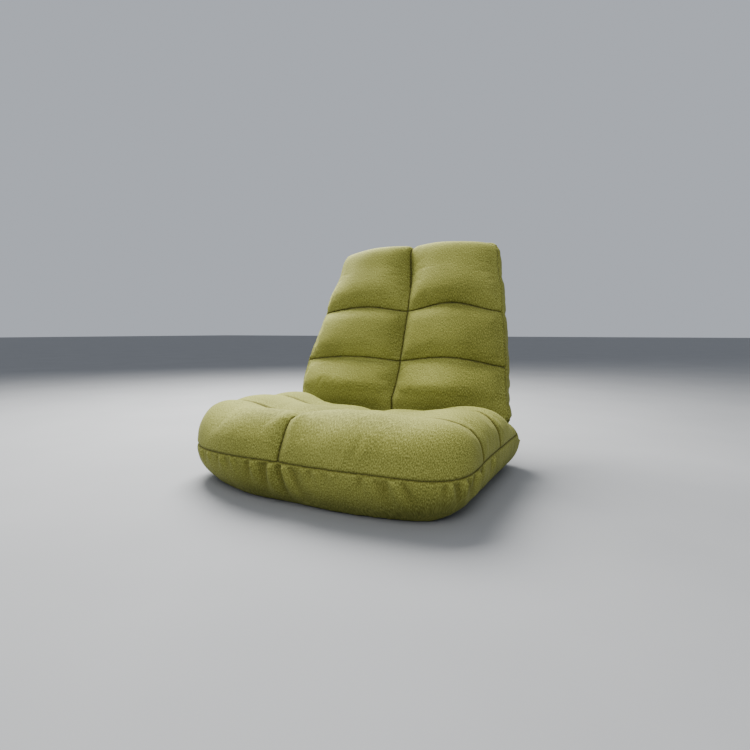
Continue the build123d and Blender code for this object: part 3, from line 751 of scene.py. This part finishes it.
seatLabels = {
    "belowRim": -0.0001, "rearFacing": 0.45, "rearHalf": 0.3, "rearFromY": 0.05,
    "downFacing": -0.85, "floorZ": 0.006,
}


def labelSeat(co, quads):
    corners = co[quads]
    centre = corners.mean(1)
    facing = np.cross(corners[:, 2] - corners[:, 0], corners[:, 3] - corners[:, 1])
    facing /= np.maximum(np.linalg.norm(facing, axis=1, keepdims=True), 1e-12)
    x, y, z = centre.T
    side = np.where(middleOffset(centre) > 0, "left", "right")
    row = np.where(rowOneOffset(centre) < 0, "front", np.where(rowTwoOffset(centre) < 0, "middle", "rear"))
    label = np.char.add(np.char.add("seat_pad_", row), np.char.add("_", side))
    below = rimOffset(centre) < seatLabels["belowRim"]
    border = np.where(y < seat["borderSplitY"], "seat_border_front", np.char.add("seat_border_", side))
    label = np.where(below, border, label)
    isRear = (facing[:, 1] > seatLabels["rearFacing"]) & (y > seatLabels["rearFromY"])
    label = np.where(below & isRear & (abs(x) < seatLabels["rearHalf"]), "seat_rear_cloth", label)
    rear = np.where(abs(x) > seat["cheekX"], np.char.add("hinge_cheek_", side), "seat_rear_cloth")
    label = np.where(y > seat["rearY"], rear, label)
    isUnder = (facing[:, 2] < seatLabels["downFacing"]) & (z < seatLabels["floorZ"])
    return np.where(isUnder, "seat_underside", label)


def seatWeave(co):
    # cloth coordinates that turn down over the front and the sides
    wrap = seat["weave"]
    frontTurn = ramp(*wrap["y"], co[:, 1])
    sideTurn = ramp(*wrap["x"], abs(co[:, 0])) * (1.0 - frontTurn)
    drop = wrap["drop"] * (wrap["topZ"] - co[:, 2])
    return np.stack([
        co[:, 0] * (1 - sideTurn) + np.sign(co[:, 0]) * (wrap["sideX"] + drop) * sideTurn,
        co[:, 1] * (1 - frontTurn) - (wrap["frontY"] + drop) * frontTurn,
    ], axis=1)


def dressSeat(obj):
    mesh = obj.data
    co, quads, normals = readPoints(mesh), readCorners(mesh).reshape(-1, 4), readNormals(mesh)
    isTop = rimOffset(co) > -seat["seamSlack"]
    isFront = co[:, 1] < seat["rearY"] + seat["seamSlack"]
    everywhere = np.ones(len(co), bool)
    seams = [
        (rimOffset, axisZ, normals[:, 2] ** 2 < seat["upright"]),
        (rearOffset, axisY, everywhere),
        (middleOffset, axisX, isTop & isFront),
        (rowOneOffset, axisY, isTop),
        (rowTwoOffset, axisY, isTop),
        (splitOffset, axisY, ~isTop),
    ]
    for x in (-seat["cheekX"], seat["cheekX"]):
        seams.append((lambda p, x=x: p[:, 0] - x, axisX, ~isFront))
    quads = layOutSeams(co, quads, seams)
    label = labelSeat(co, quads)
    writePoints(mesh, co)
    normals = readNormals(mesh)
    x, y, z = co.T
    above, middle, rowOne, rowTwo, rim, outside = seatSeams(co, normals)
    run, drop = rimRun(co), rimOffset(co)
    isAbove = (drop >= -1e-5) & (y < seat["rearY"])
    isBelow = (drop < 0) & outside
    # valleys, with an upright one between the front and side borders
    width = seat["quiltWidth"]
    farHalf = 1.0 - ramp(*seat["farX"], x)
    rowDepth = seat["rowDepth"] + seat["rowDepthFar"] * farHalf
    rows = np.maximum(grooveShape(rowOne, width), grooveShape(rowTwo, width)) * rowDepth
    column = grooveShape(middle, seat["middleWidth"]) * seat["middleDepth"]
    isBorder = (drop <= 1e-5) & outside & (z > seatLabels["floorZ"])
    isBorder &= abs(x) > seat["splitFromX"]
    split = np.where(isBorder, abs(splitOffset(co)), np.inf)
    depth = strongest(
        np.maximum(rows, column) * isAbove,
        seat["rimDepth"] * grooveShape(rim, seat["rimWidth"]) * outside,
        seat["splitDepth"] * grooveShape(split, seat["rimWidth"]),
    )
    # wadding stands up between the seams, and the thread draws small creases beside them
    near = nearest(middle, rowOne, rowTwo, rim)
    isPadded = above * (y < seat["waddingEndY"])
    lift = seat["padWadding"] * ramp(0.0, seat["waddingReach"], near) * isPadded
    puckers = seamPuckers(x, rowOne, 3) + seamPuckers(x, rowTwo, 4)
    lift += seat["puckerHeight"] * isAbove * (puckers + seamPuckers(y, middle, 5))
    # folds under and over the rim
    folds = seat["gatherScale"] * gathers(run, -drop, seat["gathersBelow"])
    folds += gathers(run, -drop, scatteredSpots(*seat["smallBelow"]))
    lift += folds * isBelow * ramp(0.0, seat["foldFloor"], z)
    aboveSpots = seat["gathersAbove"] + scatteredSpots(*seat["smallAbove"])
    lift += gathers(run, drop, aboveSpots) * isAbove * outside
    uneven = seat["uneven"]
    a, b, c = (co / uneven["size"]).T
    lift += uneven["height"] * latticeNoise(a + uneven["shift"], b + c, 6) * ramp(*seat["floorZ"], z)
    moved = co + normals * (lift - depth)[:, None]
    moved[:, 2] = np.maximum(moved[:, 2], seat["lowestZ"])
    # the dark of a row seam lies on its rear slope, in the shade of the pad before it
    shade = seat["rowShade"] + seat["rowShadeFar"] * farHalf
    behind = nearest(abs(rowOneOffset(co) - shade), abs(rowTwoOffset(co) - shade))
    sewn = nearest(middle, seat["rowShadeSpread"] * behind)
    foldShare, foldDepth = seat["foldShade"]
    # painted shade: darkness in the seam valleys and fold valleys, stored for the cloth colour
    paintedShade = strongest(
        bell(sewn, 0.0, seat["quiltLine"]) * isAbove,
        bell(rim, 0.0, seat["rimLine"]) * outside,
        bell(split, 0.0, seat["rimLine"]),
        foldShare * np.clip(-folds / foldDepth, 0, 1) * isBelow,
    )
    paths = seamPaths(co, moved, [
        (middleOffset, isAbove & (y < seat["stitchEndY"]), y),
        (rowOneOffset, isAbove, x),
        (rowTwoOffset, isAbove, x),
        (rimOffset, outside, np.arctan2(x, seat["rimCentreY"] - y)),
    ])
    writePoints(mesh, moved)
    return (moved, quads, readNormals(mesh), {"cover": seatWeave(moved)}, paintedShade, label), paths


def seatApex(rim):
    return np.array([[rim[:, 0].mean(), rim[:, 1].mean(), seat["apexZ"]]])


dressed, seatPaths = dressSeat(seatBlank)
makePieces("seat", seatApex, dressed)
dropObject(seatBlank)


# back cover

back = {
    # seam lines: u runs up the back from the hinge line, d out of its middle plane
    "rowTwo": 0.172, "rowOne": 0.32,
    "rowOneBow": [(-0.26, -0.001), (-0.12, 0.002), (0.0, -0.004), (0.13, 0.007), (0.26, -0.006)],
    "rowTwoBow": [(-0.3, 0.0), (-0.12, 0.002), (0.0, 0.0), (0.14, 0.006), (0.29, -0.005)],
    "middleShift": {"low": 0.003, "high": 0.01, "u": (0.36, 0.5)},
    "edgeDepth": 0.0395, "rearDepth": -0.036, "rollEnd": 0.03, "seamSlack": 0.004,
    "sideFacing": 0.85, "behindSeam": -0.0002,
    # form
    "widen": {"far": (0.004, 0.009), "near": (-0.005, 0.002), "at": 0.16, "spread": 0.08, "half": 0.28},
    "trim": {"by": 0.008, "at": 0.355, "spread": 0.032, "half": 0.27},
    "widthFrom": (0.03, 0.09),
    "shift": {"by": 0.005, "u": (0.05, 0.12)},
    "innerHalf": 0.22,
    "belly": {"by": 0.011, "at": 0.06, "spread": 0.035, "d": (-0.01, 0.04)},
    "crest": {"by": 0.016, "u": (0.43, 0.515)},
    # swelling
    "heldQuilt": 0.009, "heldEdge": 0.008,
    "heldFoot": (0.055, 0.085),
    "crestCalm": {"by": 0.85, "u": (0.36, 0.49)},
    # valleys and wadding
    "quiltDepth": 0.008, "quiltWidth": 0.008, "edgeDepthSeam": 0.0035, "edgeWidth": 0.004,
    "rearShare": 0.7,
    "upperFrom": (0.05, 0.08),
    "padWadding": 0.0045, "waddingReach": 0.045,
    "stuffedFrom": (0.06, 0.1),
    "stuffedTop": {"by": 0.8, "u": (0.43, 0.5)},
    "puckerHeight": 0.0007,
    "band": {"height": 0.0013, "least": 0.35, "top": (0.34, 0.47), "foot": (0.09, 0.2)},
    "bandCrease": {"length": 0.017, "slant": 1.4 / 0.03, "depth": 0.06},
    "edgePucker": {"height": 0.0005, "reach": 0.01, "size": 0.011},
    "uneven": {"height": 0.0011, "size": (0.06, 0.07), "shift": 3},
    # painted shade along the seams, and stitches
    "quiltLine": 0.0021, "edgeLine": 0.0018, "edgeShade": 0.45,
    "stitchFrom": {"middle": 0.06, "edge": 0.07},
    "edgeCentre": 0.2, "apexDepth": 0.041,
}
backNodes = [n for n in nodes if n.startswith("back_pad")]
backNodes += ["back_front_foam", "back_rear_foam", "back_gusset", "back_rear_panel", "back_roll"]


def alongOf(co):
    return (co - hingePoint) @ alongBack


def outOf(co):
    return (co - hingePoint) @ outOfBack


def backMiddle(co):
    shift = back["middleShift"]
    return co[:, 0] + shift["low"] + shift["high"] * ramp(*shift["u"], alongOf(co))


def backRowOne(co):
    return alongOf(co) - back["rowOne"] - eased(co[:, 0], back["rowOneBow"])


def backRowTwo(co):
    return alongOf(co) - back["rowTwo"] - eased(co[:, 0], back["rowTwoBow"])


def backEdge(co):
    return outOf(co) - back["edgeDepth"]


def backRear(co):
    return outOf(co) - back["rearDepth"]


def backFoot(co):
    return alongOf(co) - back["rollEnd"]


def shapeBack(co):
    # small shifts towards the stuffed cushion: wider low down, a belly above the roll, the crest drawn forward
    x, u, d = co[:, 0], alongOf(co), outOf(co)
    widen, trim = back["widen"], back["trim"]
    (farBase, farMore), (nearBase, nearMore) = widen["far"], widen["near"]
    base, more = np.where(x < 0, farBase, nearBase), np.where(x < 0, farMore, nearMore)
    wide = (base + more * bell(u, widen["at"], widen["spread"])) * x / widen["half"]
    wide -= trim["by"] * bell(u, trim["at"], trim["spread"]) * x / trim["half"]
    wide *= ramp(*back["widthFrom"], u)
    shift = -back["shift"]["by"] * ramp(*back["shift"]["u"], u)
    inner = np.exp(-(x / back["innerHalf"]) ** 4)
    belly, crest = back["belly"], back["crest"]
    out = belly["by"] * bell(u, belly["at"], belly["spread"]) * inner * ramp(*belly["d"], d)
    out += crest["by"] * ramp(*crest["u"], u) * inner
    moved = co + outOfBack * out[:, None]
    moved[:, 0] += wide + shift
    return moved


def backSeams(co, normals):
    u, d = alongOf(co), outOf(co)
    isFront = d > back["edgeDepth"] - 1e-5
    middle = seamDistance(backMiddle(co), axisX, normals)
    rowTwo = seamDistance(backRowTwo(co), alongBack, normals)
    rowOne = seamDistance(backRowOne(co), alongBack, normals)
    edge = seamDistance(backEdge(co), outOfBack, normals)
    rear = seamDistance(backRear(co), outOfBack, normals)
    return u, d, isFront, middle, rowTwo, rowOne, edge, rear


def swellBack(co, normals):
    u, d, isFront, middle, rowTwo, rowOne, edge, rear = backSeams(co, normals)
    held = strongest(
        isFront * bell(nearest(middle, rowOne, rowTwo), 0.0, back["heldQuilt"]),
        bell(edge, 0.0, back["heldEdge"]),
        bell(rear, 0.0, back["heldEdge"]),
        1.0 - ramp(*back["heldFoot"], u),
    )
    calm = back["crestCalm"]
    return np.clip(held, 0, 1), 1.0 - calm["by"] * ramp(*calm["u"], u)


backBlank = formCover("backCover", joinNodes(backNodes, []), shapeBack, swellBack)


def labelBack(co, quads):
    centre = co[quads].mean(1)
    side = np.where(backMiddle(centre) > 0, "left", "right")
    row = np.where(backRowOne(centre) > 0, "upper", np.where(backRowTwo(centre) > 0, "middle", "lower"))
    label = np.char.add(np.char.add("back_pad_", row), np.char.add("_", side))
    label = np.where(backEdge(centre) < back["behindSeam"], "back_gusset", label)
    label = np.where(backRear(centre) < back["behindSeam"], "back_rear_panel", label)
    return np.where(backFoot(centre) < 0, "back_roll", label)


def dressBack(obj):
    mesh = obj.data
    co, quads, normals = readPoints(mesh), readCorners(mesh).reshape(-1, 4), readNormals(mesh)
    isSide = abs(normals @ outOfBack) < back["sideFacing"]
    atFront = outOf(co) > back["edgeDepth"] - back["seamSlack"]
    quads = layOutSeams(co, quads, [
        (backEdge, outOfBack, isSide),
        (backRear, outOfBack, isSide),
        (backMiddle, axisX, atFront),
        (backRowTwo, alongBack, atFront),
        (backRowOne, alongBack, atFront),
        (backFoot, alongBack, np.ones(len(co), bool)),
    ])
    label = labelBack(co, quads)
    writePoints(mesh, co)
    normals = readNormals(mesh)
    x = co[:, 0]
    u, d, isFront, middle, rowTwo, rowOne, edge, rear = backSeams(co, normals)
    isPad = isFront & (u > back["rollEnd"] + 0.001)
    sewn = nearest(middle, rowOne, rowTwo)
    upper = ramp(*back["upperFrom"], u)
    edgeLine = grooveShape(edge, back["edgeWidth"]) * upper
    rearLine = grooveShape(rear, back["edgeWidth"]) * upper * back["rearShare"]
    depth = strongest(
        back["quiltDepth"] * grooveShape(sewn, back["quiltWidth"]) * isPad,
        back["edgeDepthSeam"] * np.maximum(edgeLine, rearLine),
    )
    top = back["stuffedTop"]
    stuffed = ramp(*back["stuffedFrom"], u) * (1.0 - top["by"] * ramp(*top["u"], u))
    full = ramp(0.0, back["waddingReach"], nearest(sewn, edge))
    lift = back["padWadding"] * full * isPad * stuffed
    puckers = seamPuckers(x, rowOne, 21) + seamPuckers(x, rowTwo, 22)
    lift += back["puckerHeight"] * isPad * (puckers + seamPuckers(u, middle, 23))
    # slack band round the edge: slanting creases, most of them at the top corners and low down
    band = back["band"]
    isBand = (d < back["edgeDepth"]) & (d > back["rearDepth"])
    slack = band["least"] + ramp(*band["top"], u) + 1.0 - ramp(*band["foot"], u)
    form = back["bandCrease"]
    slanted = u / form["length"] + d * form["slant"]
    creases = latticeNoise(slanted, d / form["depth"] + 5 + 7 * np.sign(x), 24)
    lift += band["height"] * isBand * upper * slack * creases
    beside = back["edgePucker"]
    creases = latticeNoise(u / beside["size"], x / beside["size"], 25)
    lift += beside["height"] * upper * np.exp(-edge / beside["reach"]) * creases
    uneven = back["uneven"]
    wide, high = uneven["size"]
    lift += uneven["height"] * upper * latticeNoise(x / wide + uneven["shift"], u / high, 26)
    moved = co + normals * (lift - depth)[:, None]
    # painted shade: darkness along the quilt seams and the edge seams, stored for the cloth colour
    paintedShade = strongest(
        bell(sewn, 0.0, back["quiltLine"]) * isPad,
        bell(nearest(edge, rear), 0.0, back["edgeLine"]) * upper * back["edgeShade"],
    )
    start = back["stitchFrom"]
    paths = seamPaths(co, moved, [
        (backMiddle, isPad & (u > start["middle"]), u),
        (backRowOne, isPad, x),
        (backRowTwo, isPad, x),
        (backEdge, u > start["edge"], np.arctan2(x, u - back["edgeCentre"])),
    ])
    writePoints(mesh, moved)
    rise = alongOf(moved)
    weave = {
        "cover": np.stack([moved[:, 0], rise], axis=1),
        "back_gusset": np.stack([outOf(moved), rise - abs(moved[:, 0])], axis=1),
    }
    return (moved, quads, readNormals(mesh), weave, paintedShade, label), paths


def backApex(rim):
    middle = rim.mean(0)
    return (middle + outOfBack * (back["apexDepth"] - outOf(middle[None])[0]))[None]


dressed, backPaths = dressBack(backBlank)
makePieces("back", backApex, dressed)
dropObject(backBlank)


# stitches along the seams, set out by one node tree

stitching = {"pitch": 0.0048, "length": 0.0034, "thread": 0.0005}


def makeStitchTree():
    tree = bpy.data.node_groups.new("stitches", "GeometryNodeTree")
    for name, way, kind in (
        ("Geometry", "INPUT", "Geometry"), ("Pitch", "INPUT", "Float"), ("Length", "INPUT", "Float"),
        ("Thread", "INPUT", "Float"), ("Material", "INPUT", "Material"), ("Geometry", "OUTPUT", "Geometry"),
    ):
        tree.interface.new_socket(name, in_out=way, socket_type="NodeSocket" + kind)
    given = addNode(tree, "NodeGroupInput")
    curve = addNode(tree, "GeometryNodeMeshToCurve")
    spaced = addNode(tree, "GeometryNodeResampleCurve", mode="LENGTH")
    along = addNode(tree, "GeometryNodeInputTangent")
    turned = addNode(tree, "FunctionNodeAlignRotationToVector", axis="Z")
    bead = addNode(tree, "GeometryNodeMeshUVSphere", Segments=6, Rings=4, Radius=0.5)
    shape = addNode(tree, "ShaderNodeCombineXYZ")
    laid = addNode(tree, "GeometryNodeInstanceOnPoints")
    real = addNode(tree, "GeometryNodeRealizeInstances")
    smooth = addNode(tree, "GeometryNodeSetShadeSmooth")
    painted = addNode(tree, "GeometryNodeSetMaterial")
    result = addNode(tree, "NodeGroupOutput")
    chain = (given, curve, spaced, laid, real, smooth, painted, result)
    for source, target in zip(chain, chain[1:]):
        tree.links.new(source.outputs[0], target.inputs[0])
    for source, output, target, slot in (
        (given, "Pitch", spaced, "Length"), (along, "Tangent", turned, "Vector"),
        (given, "Thread", shape, "X"), (given, "Thread", shape, "Y"), (given, "Length", shape, "Z"),
        (bead, "Mesh", laid, "Instance"), (turned, "Rotation", laid, "Rotation"),
        (shape, "Vector", laid, "Scale"), (given, "Material", painted, "Material"),
    ):
        tree.links.new(source.outputs[output], target.inputs[slot])
    return tree


def sewStitches(name, tree, paths, body):
    points = np.vstack(paths)
    edges, start = [], 0
    for path in paths:
        edges += [(start + i, start + i + 1) for i in range(len(path) - 1)]
        start += len(path)
    mesh = bpy.data.meshes.new(name)
    mesh.from_pydata(points.tolist(), edges, [])
    line = addObject(name + "_line", mesh)
    mod = line.modifiers.new("stitches", "NODES")
    mod.node_group = tree
    values = {
        "Pitch": stitching["pitch"], "Length": stitching["length"], "Thread": 2 * stitching["thread"],
        "Material": finish["thread"],
    }
    for item in tree.interface.items_tree:
        if item.in_out == "INPUT" and item.name in values:
            mod[item.identifier] = values[item.name]
    sewn = evaluated(line)
    line.modifiers.remove(mod)
    dropObject(line)
    piece = addObject(name, sewn)
    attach(piece, body)
    return piece


stitchTree = makeStitchTree()
for body, paths in (("seat", seatPaths), ("back", backPaths)):
    stitches = sewStitches(body + "_stitches", stitchTree, paths, body)
    print(body, "stitches sewn:", len(stitches.data.polygons), "faces")


# felt sheets on the straps

feltSheets = {
    "seat_felt": {"body": "seat", "grid": (66, 40), "corner": 0.03, "seed": 31, "on": "seat_straps"},
    "back_felt": {"body": "back", "grid": (60, 40), "corner": 0.0, "seed": 32, "on": "back_straps"},
}
feltForm = {"wave": 0.0002, "waveSize": 0.04, "inset": 0.0003}


def feltFrame(name):
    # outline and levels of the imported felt, in its own plane: axes, span, half widths at both ends, levels
    points = readPoints(nodes[name].data)
    if name == "seat_felt":
        along, out, origin = axisY, axisZ, np.zeros(3)
    else:
        along, out, origin = alongBack, outOfBack, hingePoint
    v, w = (points - origin) @ along, (points - origin) @ out
    low, high = v.min(), v.max()
    end = 0.15 * (high - low)
    halfLow = abs(points[v < low + end, 0]).max()
    halfHigh = abs(points[v > high - end, 0]).max()
    return along, out, origin, (low, high), (halfLow, halfHigh), (w.min(), w.max())


def makeFelt(name, felt):
    along, out, origin, (low, high), (halfLow, halfHigh), (under, over) = feltFrame(name)
    length, middle = high - low, (low + high) / 2
    columns, rows = felt["grid"]
    a, b = np.meshgrid(np.linspace(-1, 1, columns + 1), np.linspace(low, high, rows + 1))
    a, b = a.ravel(), b.ravel()
    half = halfLow + (halfHigh - halfLow) * (b - low) / length
    x = a * half
    radius = felt["corner"]
    if radius:
        # the square corners of the grid are drawn in to round ones
        cx = np.clip((abs(x) - half + radius) / radius, 0, 1)
        cy = np.clip((abs(b - middle) - length / 2 + radius) / radius, 0, 1)
        scale = np.maximum(cx, cy) / np.maximum(np.hypot(cx, cy), 1e-9)
        isCorner = (cx > 0) & (cy > 0)
        x = np.where(isCorner, np.sign(x) * (half - radius + radius * cx * scale), x)
        reach = length / 2 - radius + radius * cy * scale
        b = np.where(isCorner, middle + np.sign(b - middle) * reach, b)
    level = feltForm["wave"] * latticeNoise(x / feltForm["waveSize"], b / feltForm["waveSize"], felt["seed"])
    flat = origin + x[:, None] * axisX + b[:, None] * along
    top = flat + (over - feltForm["inset"] + level)[:, None] * out
    grid = np.arange(len(flat)).reshape(rows + 1, columns + 1)
    cells = np.stack([grid[:-1, :-1], grid[:-1, 1:], grid[1:, 1:], grid[1:, :-1]], axis=2).reshape(-1, 4)
    isUpright = np.cross(axisX, along) @ out > 0
    normals = np.tile(out, (len(flat), 1))
    piece = takePanel(
        name + "_sheet", top, (np.stack([x, b], axis=1), np.zeros(len(flat))),
        cells if isUpright else cells[:, ::-1], normals, {"thickness": over - under - 2 * feltForm["inset"]})
    piece.data.materials.append(finish["feltCloth"])
    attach(piece, felt["body"])
    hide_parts(name)


for name, felt in feltSheets.items():
    makeFelt(name, felt)
print("felt laid")


# hidden frame and hinges keep their solids and get their finishes

for name, node in nodes.items():
    if node.hide_render:
        continue
    kind = "frameSteel" if "tube" in name else "webbingCloth" if "straps" in name else "platedSteel"
    node.data.materials.clear()
    node.data.materials.append(finish[kind])
print("frame and hinges finished")


# room: grey floor, soft light, camera

room = {
    "floorHalf": 30.0,
    "floorGrain": (3.0, 3.0, 3.0),
    "floorStops": [(0.0, (0.2, 0.205, 0.215, 1)), (1.0, (0.24, 0.245, 0.255, 1))],
    "floorRoughness": 0.85,
    "sky": (0.9, 0.96, 1.06, 1.0),
    "skyStrength": 0.52,
    "lampTarget": (0.0, 0.0, 0.2),
}


def makeStage():
    material, tree, shader = newMaterial("greyFloor")
    place = addNode(tree, "ShaderNodeTexCoord").outputs["Object"]
    mottle = addNoise(tree, place, room["floorGrain"], 3.0, 0.5)
    tree.links.new(addRamp(tree, mottle, room["floorStops"]), shader.inputs["Base Color"])
    shader.inputs["Roughness"].default_value = room["floorRoughness"]
    mesh = bpy.data.meshes.new("floor")
    half = room["floorHalf"]
    corners = [(-half, -half, 0), (half, -half, 0), (half, half, 0), (-half, half, 0)]
    mesh.from_pydata(corners, [], [(0, 1, 2, 3)])
    floor = addObject("floor", mesh)
    mesh.materials.append(material)


lamps = {
    "window": {"at": (-1.0, 0.85, 1.9), "size": 1.5, "watts": 265.0, "tint": (1.0, 0.99, 0.95)},
    "key": {"at": (0.9, -1.8, 1.9), "size": 1.4, "watts": 37.0, "tint": (1.0, 0.99, 0.97)},
    "fill": {"at": (-2.0, -1.0, 1.2), "size": 1.6, "watts": 9.0, "tint": (1.0, 0.99, 0.98)},
}


def makeLamps():
    target = Vector(room["lampTarget"])
    for name, lamp in lamps.items():
        data = bpy.data.lights.new(name, "AREA")
        data.size = lamp["size"]
        data.energy = lamp["watts"]
        data.color = lamp["tint"]
        obj = addObject(name, data)
        obj.location = lamp["at"]
        obj.rotation_euler = (target - obj.location).to_track_quat("-Z", "Y").to_euler()
    world = bpy.data.worlds.new("room")
    bpy.context.scene.world = world
    world.use_nodes = True
    background = world.node_tree.nodes["Background"]
    background.inputs["Color"].default_value = room["sky"]
    background.inputs["Strength"].default_value = room["skyStrength"]


view = {"sensor": 36.0, "lens": 23.788, "at": (0.569, -1.0059, 0.3277), "turn": (84.958, 0.0, 28.117)}


def makeCamera():
    data = bpy.data.cameras.new("camera")
    data.sensor_width = view["sensor"]
    data.lens = view["lens"]
    obj = addObject("camera", data)
    obj.location = view["at"]
    obj.rotation_euler = [math.radians(angle) for angle in view["turn"]]
    bpy.context.scene.camera = obj


makeStage()
makeLamps()
makeCamera()
print("stage, lamps and camera set")
